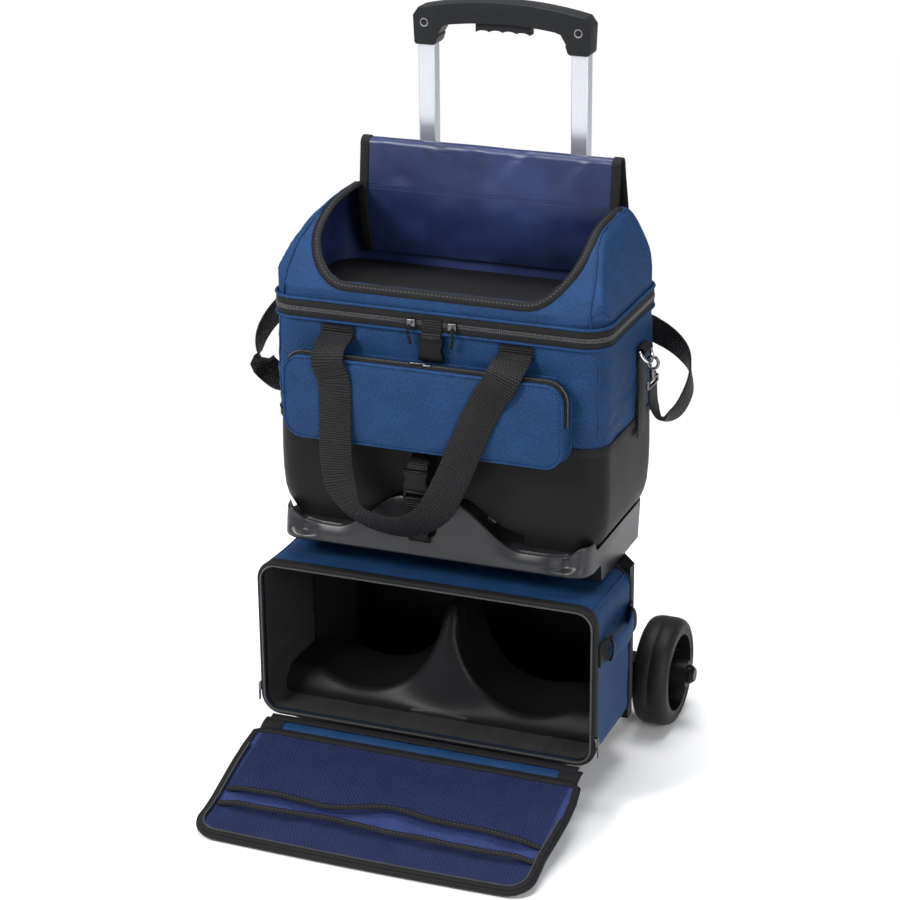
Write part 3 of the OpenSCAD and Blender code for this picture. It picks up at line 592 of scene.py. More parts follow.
def flat_profile(w, t, edge=None):
    """Cross-section of a strap with round edges."""
    e = edge if edge is not None else t / 2
    out = []
    for sx, a0 in ((1, -90), (-1, 90)):
        for k in range(5):
            a = radians(a0 + 180 * k / 4)
            out.append((sx * (w / 2 - e) + e * cos(a), (t / 2) * sin(a)))
    return out


def oval_profile(w, t, n=12):
    return [(w / 2 * cos(a), t / 2 * sin(a)) for a in circle(n)]


def directions(path, closed=False):
    """Direction of a path at each of its points."""
    n = len(path)
    if closed:
        return [(path[(i + 1) % n] - path[i - 1]).normalized() for i in range(n)]
    return [(path[min(i + 1, n - 1)] - path[max(i - 1, 0)]).normalized() for i in range(n)]


def circle(n, start=0.0):
    """Angles of n even steps round a circle."""
    return [TAU * (k + start) / n for k in range(n)]


def round_sides(path, closed=False, hint=Vector((0, 0, 1))):
    """Width directions carried along a path without twisting."""
    s, out = Vector(hint), []
    for t in directions(path, closed):
        s = s - t * s.dot(t)
        if s.length < 1e-4:
            s = Vector((1, 0, 0)) - t * t.x
        s.normalize()
        out.append(s.copy())
    return out


def cord(shape, path, r, closed=False, n=8, hint=Vector((0, 0, 1))):
    sweep(shape, path, round_sides(path, closed, hint), oval_profile(2 * r, 2 * r, n), closed)


def boxes(name, parts, material, body, segments=3, turn=None):
    """One object of bevelled boxes, each (low corner, high corner, bevel) in millimetres."""
    bm = bmesh.new()
    for low, high, bevel in parts:
        low, high = Vector(low) * MM, Vector(high) * MM
        made = bmesh.ops.create_cube(bm, size=1.0)
        vs = made["verts"]
        for v in vs:
            v.co = Vector(((low[k] + high[k]) / 2 + v.co[k] * (high[k] - low[k]) for k in range(3)))
        edges = list({e for v in vs for e in v.link_edges})
        if bevel:
            bmesh.ops.bevel(bm, geom=edges, offset=bevel * MM, offset_type="OFFSET", affect="EDGES",
                            segments=segments, profile=0.5, material=-1)
    if turn is not None:
        bmesh.ops.transform(bm, matrix=turn, verts=bm.verts)
    bmesh.ops.recalc_face_normals(bm, faces=bm.faces)
    mesh = bpy.data.meshes.new(name)
    bm.to_mesh(mesh)
    bm.free()
    layer = mesh.uv_layers.new(name="UVMap")
    for loop in mesh.loops:
        co = mesh.vertices[loop.vertex_index].co
        layer.data[loop.index].uv = (co.x + co.y * 0.3, co.z + co.y * 0.7)
    return finish(name, mesh, material, body, angle=40)


def extruded(outline, y0, y1):
    """Closed block in a new bmesh, from a front outline of (x, z) points."""
    bm = bmesh.new()
    face = bm.faces.new([bm.verts.new(Vector((x, y0, z)) * MM) for x, z in outline])
    made = bmesh.ops.extrude_face_region(bm, geom=[face])
    moved = [v for v in made["geom"] if isinstance(v, bmesh.types.BMVert)]
    bmesh.ops.translate(bm, verts=moved, vec=(0, (y1 - y0) * MM, 0))
    bmesh.ops.recalc_face_normals(bm, faces=bm.faces)
    return bm


def outline_block(name, outline, y0, y1, bevel, material, body, segments=4):
    """Block with a front outline of (x, z) points and rounded front and back edges."""
    bm = extruded(outline, y0, y1)
    rim = [e for e in bm.edges if abs(e.verts[0].co.y - e.verts[1].co.y) < 1e-7]
    bmesh.ops.bevel(bm, geom=rim, offset=bevel * MM, offset_type="OFFSET", affect="EDGES",
                    segments=segments, profile=0.5, material=-1, clamp_overlap=True)
    mesh = bpy.data.meshes.new(name)
    bm.to_mesh(mesh)
    bm.free()
    mesh.uv_layers.new(name="UVMap")
    return finish(name, mesh, material, body, angle=35)


def cut(obj, cutter):
    """Takes one closed object out of another and removes it."""
    tool = obj.modifiers.new("cut", "BOOLEAN")
    tool.operation = "DIFFERENCE"
    tool.solver = "EXACT"
    tool.object = cutter
    bpy.context.view_layer.update()
    deps = bpy.context.evaluated_depsgraph_get()
    mesh = bpy.data.meshes.new_from_object(obj.evaluated_get(deps))
    obj.modifiers.clear()
    old = obj.data
    obj.data = mesh
    bpy.data.meshes.remove(old)
    bpy.data.objects.remove(cutter)
    mesh.shade_smooth()
    mesh.set_sharp_from_angle(angle=radians(40))


def prism(points, y0, y1):
    """Closed helper block from a front outline of (x, z), for cutting."""
    bm = extruded(points, y0, y1)
    mesh = bpy.data.meshes.new("cutter")
    bm.to_mesh(mesh)
    bm.free()
    obj = bpy.data.objects.new("cutter", mesh)
    bpy.context.scene.collection.objects.link(obj)
    return obj


def dress(node, material):
    """Gives a CAD node its finish."""
    obj = frame["nodes"][node]
    obj.data.materials.clear()
    obj.data.materials.append(material)


def stand_for(obj, slot, *nodes):
    if nodes:
        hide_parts(*nodes)
    return obj


# ---- lower bag ----


def rim_point(low, high, inset, r, step=14.0):
    """Outline of the lower bag seen from the front, as (x, z) with normals."""
    w, h = high.x - low.x - 2 * inset, high.z - low.z - 2 * inset
    cx, cz = (low.x + high.x) / 2, (low.z + high.z) / 2
    full = (high.x - low.x, high.z - low.z, r)
    return [((p.x + cx, p.y + cz), q) for p, q in rrect(w, h, r - inset, 8, step, full)]


class BAG_OT_lower_bag(Operator):
    """Builds the lower bag's cloth box, its lining, the bound opening and the seams"""

    bl_idname = "bag.lower_bag"
    bl_label = "Lower bag"

    def execute(self, context):
        low, high = cad("lower_bag_fabric")
        r = 26
        sag_depth = 2.2
        outer = rim_point(low, high, 0, r)
        depth = high.y - low.y
        shape = Shape()
        rows = []
        for t in [i / 16 for i in range(17)]:
            y = low.y + depth * t
            row = []
            for (x, z), q in outer:
                sag = -sag_depth * sin(pi * t) + 1.3 * wave((x, y * 1.4, z), 46, 3)
                row.append(Vector((x + q.x * sag, y, z + q.y * sag)))
            rows.append(row)
        inner = rim_point(low, high, 3.4, r)
        rows += [[Vector((x, y, z)) for (x, z), _ in inner] for y in (high.y, low.y + 1)]
        rows.append(rows[0])
        shape.grid(rows, close=True)
        stand_for(shape.object("lower_bag_cloth", cloth(), "trolley"), "blue_fabric", "lower_bag_fabric")

        seams = Shape()
        for sx in (-1, 1):
            for sz in (-1, 1):
                cx, cz = sx * (high.x - r), (high.z - r if sz > 0 else low.z + r)
                path = []
                for t in [i / 12 for i in range(13)]:
                    out = (r + 0.2) * 0.7071 - sag_depth * 0.7 * sin(pi * t)
                    path.append(Vector((cx + sx * out, low.y + 3 + (depth - 4) * t, cz + sz * out)))
                cord(seams, path, 1.5)
        stand_for(seams.object("lower_bag_piping", cloth(), "trolley"), "blue_fabric")

        # lining with loose folds, open at the front
        lining = Shape()
        rows = []
        for t in [i / 24 for i in range(25)]:
            y = low.y + 1 + (high.y + 8 - low.y) * t
            row = []
            for (x, z), q in rim_point(low, high, 5.4, r, 9.0):
                fold = (1.6 * wave((x * 1.2, y * 0.55, z * 1.2), 17, 9) - 1.4) * smooth_step(t, 0, 0.12)
                row.append(Vector((x + q.x * fold, y, z + q.y * fold)))
            rows.append(row)
        lining.grid(rows, close=True, flip=True)
        m = Mat("lining_black", (0.019, 0.018, 0.019), 0.58, Specular_IOR_Level=0.35)
        p = m.place()
        folds = m.noise(m.stretch(p, 1, 0.35, 1), 42, 3)
        # the fold noise also sets the base colour, darker in the fold troughs and lighter on the crests:
        # painted shade and light of the folds
        m.feed("Base Color", m.mix(folds, (0.010, 0.0095, 0.0098), (0.030, 0.028, 0.0285)))
        m.bump(folds, 0.6, 0.004)
        stand_for(lining.object("bag_lining", m.data, "trolley"), "black_lining", "compartment_lining")

        # binding round the opening, with the zip's coil on its front
        rim = [Vector((x, low.y - 3.4, z)) for (x, z), _ in rim_point(low, high, 1.6, r)]
        out = [Vector((q.x, 0, q.y)) for _, q in rim_point(low, high, 1.6, r)]
        bind = Shape()
        sweep(bind, rim, out, oval_profile(8.0, 7.2, 14), closed=True)
        tape_path = [Vector((x, low.y + 3.5, z)) for (x, z), _ in rim_point(low, high, -0.9, r)]
        sweep(bind, tape_path, Vector((0, 1, 0)), flat_profile(9, 1.4), closed=True)
        stand_for(bind.object("bag_rim_binding", tape(), "trolley"), "black_binding", "lower_bag_rim")
        coil = Shape()
        cord(coil, [p + Vector((0, -3.9, 0)) - n * 2.2 for p, n in zip(rim, out)], 1.5, closed=True,
             hint=Vector((0, 1, 0)))
        stand_for(coil.object("bag_rim_zip", zip_teeth(), "trolley"), "black_binding")
        return {"FINISHED"}


class BAG_OT_cradle(Operator):
    """Builds the moulded cups and the saddle between the balls"""

    bl_idname = "bag.cradle"
    bl_label = "Ball cradle"

    def execute(self, context):
        low, high = cad("ball_cradle")
        ball_r, bx, by = 109.5, 120.5, 62.0
        bz = low.z + 11 + 108

        def height(x, y):
            front = smooth_step(y, low.y - 2, low.y + 34)
            ridge = 116 * exp(-((abs(x) / 40) ** 1.7)) * (0.30 + 0.70 * smooth_step(y, low.y + 4, low.y + 62))
            body = 5 + front * (25 + ridge)
            gap = ball_r ** 2 - (abs(x) - bx) ** 2 - (y - by) ** 2
            ball = bz - low.z - sqrt(gap) if gap > 0 else 500
            k = 9.0
            h = max(0.0, min(1.0, 0.5 + 0.5 * (ball - body) / k))
            return low.z + ball * (1 - h) + body * h - k * h * (1 - h)

        shape = Shape()
        across, deep = 120, 36
        xs = [low.x + (high.x - low.x) * i / across for i in range(across + 1)]
        rows = []
        for j in range(deep + 1):
            y = low.y + (high.y - low.y) * j / deep
            rows.append([Vector((x, y, height(x, y))) for x in xs])
        under = [[Vector((p.x, p.y, low.z)) for p in row] for row in (rows[0], rows[-1])]
        shape.grid([under[0]] + rows + [under[1], under[0]])
        for side in (0, -1):
            edge = [row[side] for row in rows]
            feet = [Vector((p.x, p.y, low.z)) for p in (edge[0], edge[-1])]
            shape.fan([feet[0]] + edge + [feet[1]])
        stand_for(shape.object("cradle_moulding", moulded("cradle_black", 0.4, 1.5), "trolley", angle=60),
                  "moulded_black", "ball_cradle")
        return {"FINISHED"}


class BAG_OT_side_grips(Operator):
    """Builds the padded grab handles on the lower bag's sides"""

    bl_idname = "bag.side_grips"
    bl_label = "Side grab handles"

    def execute(self, context):
        for side, node in ((-1, "side_handle_left"), (1, "side_handle_right")):
            low, high = cad(node)
            x = min(abs(low.x), abs(high.x)) + 1.4
            z = (low.z + high.z) / 2
            front, back = low.y, high.y

            def route(items):
                return curve([(side * (x + out), y, zz) for out, y, zz in items], 6)

            grip = Shape()
            path = route([(7, front + 20, z - 2), (12.5, front + 40, z - 3.5),
                          (14.5, (front + back) / 2, z - 4.5),
                          (12.5, back - 40, z - 2), (7, back - 20, z + 1)])
            sweep(grip, path, Vector((0, 0, 1)), oval_profile(27, 6.5, 16))
            pad = stand_for(grip.object(f"{node}_grip", cloth(), "trolley"), "blue_fabric", node)
            web = Shape()
            for items in ([(0.6, front, z - 6), (1.2, front + 14, z - 4), (7.4, front + 21, z - 2),
                           (9.4, front + 27, z - 2)],
                          [(0.6, back, z), (1.2, back - 12, z), (7.4, back - 20, z + 1),
                           (9.4, back - 26, z + 1)]):
                p = route(items)
                sweep(web, p, Vector((0, 0, 1)), flat_profile(31, 3.2))
            for yy in (front + 24, back - 23):
                loop = [Vector((side * (x + 8.4 + 4.6 * cos(a)), yy + 0.9 * cos(a), z - 2 + 16.4 * sin(a)))
                        for a in circle(28)]
                sweep(web, loop, Vector((0, 1, 0)), flat_profile(9, 1.5), closed=True)
            stand_for(web.object(f"{node}_webbing", webbing(), "trolley"), "black_webbing")
        return {"FINISHED"}


# ---- chassis, wheels and handle ----


class BAG_OT_chassis(Operator):
    """Finishes the moulded shell, stand, axle and handle housing"""

    bl_idname = "bag.chassis"
    bl_label = "Chassis"

    def execute(self, context):
        for node in ("rear_shell", "handle_housing", "base_plate", "front_stand", "axle_carrier"):
            dress(node, moulded())
        dress("stand_pad", rubber())
        dress("axle", steel())
        dress("axle_caps", moulded("gloss_black", 0.3, 0.8))
        # trim along the shell's front edge, where the cloth is sewn to it
        low, high = cad("lower_bag_fabric")
        trim = Shape()
        path = [Vector((x, high.y, z)) for (x, z), _ in rim_point(low, high, -0.8, 26)]
        sweep(trim, path, Vector((0, 1, 0)), flat_profile(9, 2.2), closed=True)
        stand_for(trim.object("shell_trim", tape(), "trolley"), "black_binding")
        # corner ribs of the handle housing
        low, high = cad("handle_housing")
        ribs = [((s * (high.x - 26) - 13, high.y - 0.6, low.z + 14),
                 (s * (high.x - 26) + 13, high.y + 2.4, high.z - 12), 1.4)
                for s in (-1, 1)]
        ribs += [((-46, high.y - 0.6, low.z + 30 + 26 * k), (46, high.y + 1.6, low.z + 36 + 26 * k), 0.8)
                 for k in range(6)]
        stand_for(boxes("housing_ribs", ribs, moulded(), "trolley"), "moulded_black")
        return {"FINISHED"}


class BAG_OT_wheels(Operator):
    """Builds the tyres and the dished hubs"""

    bl_idname = "bag.wheels"
    bl_label = "Wheels"

    def execute(self, context):
        for side, word in ((-1, "left"), (1, "right")):
            low, high = cad(f"tyre_{word}")
            c = (low + high) / 2
            r = (high.z - low.z) / 2
            half = (high.x - low.x) / 2
            profile = [(-half, r - 15), (-half, r - 11), (-half + 0.6, r - 9.2), (-half + 2.6, r - 5),
                       (-half + 6, r - 2.2),
                       (-half + 11, r - 0.7)]
            profile += [(-half + 15, r), (-0.9, r), (-0.5, r - 0.25), (0.5, r - 0.25), (0.9, r),
                        (half - 15, r)]
            profile += [(half - 11, r - 0.7), (half - 6, r - 2.2), (half - 2.6, r - 5), (half - 0.6, r - 9.2),
                        (half, r - 11), (half, r - 13.6), (half - 1.4, r - 15)]
            shape = Shape()
            rows = [[Vector((c.x + side * x, c.y + q * cos(a), c.z + q * sin(a))) for a in circle(96)]
                    for x, q in profile]
            shape.grid(rows + [rows[0]], close=True)
            stand_for(shape.object(f"tyre_{word}_tread", rubber(), f"wheel_{word}", angle=32),
                      "tyre_rubber", f"tyre_{word}")
            dress(f"hub_{word}", moulded("hub_black", 0.42, 0.8))
            dress(f"bearings_{word}", steel())
            hl, hh = cad(f"hub_{word}")
            outer = side * max(abs(hl.x), abs(hh.x))
            ribs = Shape()
            for a in circle(12, 0.5):
                d = Vector((0, cos(a), sin(a)))
                base = Vector((0, c.y, c.z))
                path = [base + d * q + Vector((c.x + side * x, 0, 0))
                        for q, x in ((24, half - 22), (34, half - 27), (46, half - 27), (53, half - 14))]
                sweep(ribs, curve(path, 3), Vector((0, -sin(a), cos(a))), flat_profile(3.4, 7, 1.2))
            cap = [Vector((outer - side * 5, c.y + 13 * cos(a), c.z + 13 * sin(a)))
                   for a in circle(32)]
            cord(ribs, cap, 1.8, closed=True, hint=Vector((1, 0, 0)))
            stand_for(ribs.object(f"hub_{word}_ribs", moulded("hub_black", 0.42, 0.8), f"wheel_{word}"),
                      "moulded_black")
        return {"FINISHED"}


class BAG_OT_tubes(Operator):
    """Finishes the telescoping tubes and their collars"""

    bl_idname = "bag.tubes"
    bl_label = "Handle tubes"

    def execute(self, context):
        dress("outer_tubes", moulded("tube_black", 0.4, 1.6))
        dress("middle_tubes", silver())
        dress("inner_tubes", silver())
        # grip_black's lift of 2.6 brightens the base colour of the collars as a painted stand-in for a satin
        # highlight
        for node in ("tube_collars", "middle_collars"):
            dress(node, moulded("grip_black", 0.4, 2.6))
        dress("release_spring", steel())
        low, high = cad("inner_tubes")
        lock_z = 700
        pins = Shape()
        for s in (-1, 1):
            x = s * (high.x - 12)
            path = [Vector((x, low.y - 0.2, lock_z)), Vector((x, low.y + 1, lock_z))]
            sweep(pins, path, Vector((1, 0, 0)), oval_profile(5, 5, 16))
        stand_for(pins.object("lock_buttons", steel(), "handle_top"), "steel")
        return {"FINISHED"}


class BAG_OT_grip(Operator):
    """Builds the arched grip, its screws and the release bar"""

    bl_idname = "bag.grip"
    bl_label = "Grip"

    def execute(self, context):
        low, high = cad("grip")
        half = (high.x - low.x) / 2
        top, bottom = high.z, low.z
        rise = 15.0
        rad = (half ** 2 + rise ** 2) / (2 * rise)

        def arch(x, z0):
            return z0 - rad + sqrt(rad ** 2 - x ** 2)

        outer = []
        for k in range(33):
            x = half - 2 * half * k / 32
            z = arch(x, top)
            if abs(x) > half - 9:
                z -= 9 - sqrt(max(0.0, 81 - (abs(x) - half + 9) ** 2))
            outer.append((x, z))
        foot = [(-half + 1.5, bottom + 3), (-half + 4, bottom), (-half + 29, bottom),
                (-half + 32, bottom + 3)]
        inner_half, under = half - 34, top - 29
        inside = [(-inner_half + 1, under - 22)]
        for k in range(25):
            x = -inner_half + 2 * inner_half * k / 24
            z = arch(x, under)
            if abs(x) > inner_half - 14:
                z -= (14 - sqrt(max(0.0, 196 - (abs(x) - inner_half + 14) ** 2))) * 0.9
            inside.append((x, z))
        inside.append((inner_half - 1, under - 22))
        outline = outer + foot + inside + [(-x, z) for x, z in foot[::-1]]
        # grip_black's lift of 2.6 brightens the grip's base colour as a painted stand-in for its satin
        # highlight
        grip = outline_block("grip_body", outline, low.y, high.y, 5, moulded("grip_black", 0.4, 2.6),
                             "handle_top")
        stand_for(grip, "grip_black", "grip")

        screws = Shape()
        sl, sh = cad("grip_screws")
        for s in (-1, 1):
            cx, cz = s * (sh.x - 3.5), (sl.z + sh.z) / 2
            rows = []
            for q, y in ((6.0, low.y + 0.5), (5.8, low.y - 0.7), (4.4, low.y - 0.9), (3.9, low.y + 0.3),
                         (3.2, low.y + 0.5),
                         (1.6, low.y + 0.1), (1.2, low.y + 0.9), (0.1, low.y + 0.9)):
                rows.append([Vector((cx + q * cos(a), y, cz + q * sin(a)))
                             for a in circle(24)])
            screws.grid(rows, close=True)
        stand_for(screws.object("grip_screw_heads", steel("screw_dark", 0.35, 0.30), "handle_top"),
                  "steel", "grip_screws")

        bl, bh = cad("release_bar")
        xs = [bl.x + (bh.x - bl.x) * k / 60 for k in range(61)]
        outline = [(x, arch(x, bh.z - 0.5)) for x in xs[::-1]]
        for x in xs:
            scallop = 2.4 * abs(sin(2 * TAU * (x - bl.x) / (bh.x - bl.x))) ** 0.7
            outline.append((x, arch(x, bl.z + 0.4) + scallop))
        # the release lever shares grip_black, whose lift of 2.6 is a painted highlight in the base colour
        bar = outline_block("release_lever", outline, bl.y + 0.5, bh.y - 0.5, 1.6,
                            moulded("grip_black", 0.4, 2.6), "release", 2)
        stand_for(bar, "grip_black", "release_bar")
        return {"FINISHED"}


# ---- tray and hold-down ----


def tray_top(x, half):
    """How far the tray's front edge rises above its deck at a place across it."""
    hump = 56 * (1 - smooth_step(abs(x + 6), 32, 132)) ** 1.1
    wing = 15 * smooth_step(abs(x), half - 34, half - 8)
    return hump + wing


class BAG_OT_tray(Operator):
    """Builds the satin tray with its hump, scooped wings and strap slot"""

    bl_idname = "bag.tray"
    bl_label = "Tray"

    def execute(self, context):
        low, high = cad("top_tray")
        tl, _ = cad("tote_base")
        deck = tl.z - 0.6
        half = high.x
        front, back = low.y + 4, high.y
        lift = low.z + 25
        r = 26.0
        shape = Shape()
        rows = []
        n = 150
        for i in range(n + 1):
            x = -half + 2 * half * i / n
            a = abs(x)
            corner = r - sqrt(max(0.0, r * r - max(0.0, a - (half - r)) ** 2))
            scoop = 11 * exp(-(((a - (half - 31)) / 17) ** 2))
            rise = tray_top(x, half)
            f = front + corner
            b = back - corner * 0.8
            ztop = deck + rise
            col = [(b - 8, low.z), (42, low.z), (40, lift - 4), (37, lift), (f + 10, lift),
                   (f + 1, lift + 0.4),
                   (f - 3.5, lift + 2.0), (f - 5, lift + 4.5), (f - 4.6, lift + 7)]
            for k in range(1, 11):
                t = k / 10
                z = lift + 7 + (ztop - lift - 9) * t
                bow = -2.5 * sin(pi * t) * (1 - min(1, rise / 40)) + 7.5 * t * (1 - 0.35 * t)
                inward = scoop * smooth_step(t, 0.0, 0.35) * (1 - 0.35 * smooth_step(t, 0.75, 1))
                col.append((f - 4.6 + bow + inward, z))
            y_lip = col[-1][0]
            col += [(y_lip + 1.2, ztop - 0.6), (y_lip + 3.0, ztop), (y_lip + 5.0, ztop - 0.8),
                    (y_lip + 6, ztop - 3)]
            hump_back = 6 + 8 * smooth_step(rise, 2, 30)
            col += [(y_lip + hump_back + 3, deck + min(rise, 3) * 0.4),
                    (max(y_lip + hump_back + 8, f + 22), deck), (b - 2, deck), (b, deck - 2.5),
                    (b - 8, low.z)]
            rows.append([Vector((x, y, z)) for y, z in col])
        shape.grid(rows)
        shape.fan(rows[0])
        shape.fan(rows[-1], flip=True)
        tray = shape.object("tray_shell", satin(), "trolley", angle=70)
        sx = (cad("hold_down_strap")[0].x + cad("hold_down_strap")[1].x) / 2
        zc = deck + 20

        def squared(v):
            """Widens a sine or cosine, so that a circle becomes a rounded rectangle."""
            return v * abs(v) ** -0.35 if abs(v) > 0.01 else v

        hole = [(sx + 23 * squared(cos(a + 0.01)), zc + 17 * squared(sin(a + 0.01))) for a in circle(40)]
        cut(tray, prism(hole, low.y - 30, low.y + 60))
        stand_for(tray, "satin_black", "top_tray")
        lip = Shape()
        path = [Vector((x, low.y + 6.5 + (z - zc) * 0.10, z)) for x, z in hole]
        sweep(lip, path, Vector((0, 1, 0)), oval_profile(7, 2.6, 10), closed=True)
        stand_for(lip.object("strap_slot_lip", satin(), "trolley"), "satin_black")
        dress("tray_screws", steel())
        return {"FINISHED"}


class BAG_OT_hold_down(Operator):
    """Builds the strap and side-release buckle that hold the tote on the tray"""

    bl_idname = "bag.hold_down"
    bl_label = "Hold-down buckle"

    def execute(self, context):
        gloss = moulded("buckle_black", 0.3, 0.9)
        low, high = cad("hold_down_strap")
        x = (low.x + high.x) / 2
        y = low.y + 1.3
        z0 = low.z
        tl, th = cad("hold_down_tongue")
        web = Shape()
        path = curve([(x, high.y, z0 + 1.5), (x, y + 14, z0 + 1.6), (x, y + 5, z0 + 5), (x, y + 0.6, z0 + 14),
                      (x, y, z0 + 30), (x, y, tl.z + 1)], 6)
        sweep(web, path, Vector((1, 0, 0)), flat_profile(29, 2.4))
        tail = curve([(x + 1, y - 3.4, tl.z + 2), (x + 1.5, y - 4.4, tl.z - 14),
                      (x + 2, y - 3.2, tl.z - 34)], 5)
        sweep(web, tail, Vector((1, 0, 0)), flat_profile(27, 2.2))
        stand_for(web.object("hold_down_webbing", webbing(), "trolley"), "black_webbing", "hold_down_strap")
        parts = [((tl.x, tl.y - 1, tl.z - 1), (tl.x + 5, th.y, tl.z + 11), 1.6),
                 ((th.x - 5, tl.y - 1, tl.z - 1), (th.x, th.y, tl.z + 11), 1.6),
                 ((tl.x, tl.y - 1, tl.z + 7), (th.x, th.y, tl.z + 11.5), 1.6),
                 ((tl.x + 2, tl.y - 2.6, tl.z - 1), (th.x - 2, tl.y + 2, tl.z + 3), 1.2)]
        for dx in (-12, 0, 12):
            parts.append(((x + dx - 2.5, tl.y + 2, tl.z + 9), (x + dx + 2.5, tl.y + 6, th.z - 0.5), 1.2))
        stand_for(boxes("hold_down_buckle_tongue", parts, gloss, "trolley"), "buckle_black",
                  "hold_down_tongue")

        sl, sh = cad("hold_down_socket")
        y1 = sl.y + 10
        body = [(x - 18, sl.z), (x - 18, sl.z + 9), (x - 15.5, sl.z + 13), (x - 15.5, sl.z + 20),
                (x - 18, sl.z + 24),
                (x - 17, sl.z + 29), (x + 17, sl.z + 29), (x + 18, sl.z + 24), (x + 15.5, sl.z + 20),
                (x + 15.5, sl.z + 13),
                (x + 18, sl.z + 9), (x + 18, sl.z)]
        socket = outline_block("hold_down_buckle_socket", body, sl.y, y1, 2.6, gloss, "tote", 3)
        cut(socket, prism([(x - 14.5, sl.z - 4), (x + 14.5, sl.z - 4), (x + 14.5, sl.z + 24),
                           (x - 14.5, sl.z + 24)],
                          sl.y + 2.4, y1 - 2.2))
        stand_for(socket, "buckle_black", "hold_down_socket")
        strap = Shape()
        path = curve([(x, sl.y + 5.5, sl.z + 26), (x, sl.y + 9, sl.z + 34), (x, -6.5, sh.z - 12),
                      (x, -3.2, sh.z - 4),
                      (x, -3.0, sh.z + 6)], 5)
        sweep(strap, path, Vector((1, 0, 0)), flat_profile(29, 2.4))
        stand_for(strap.object("hold_down_socket_webbing", webbing(), "tote"), "black_webbing")
        return {"FINISHED"}


# ---- door ----


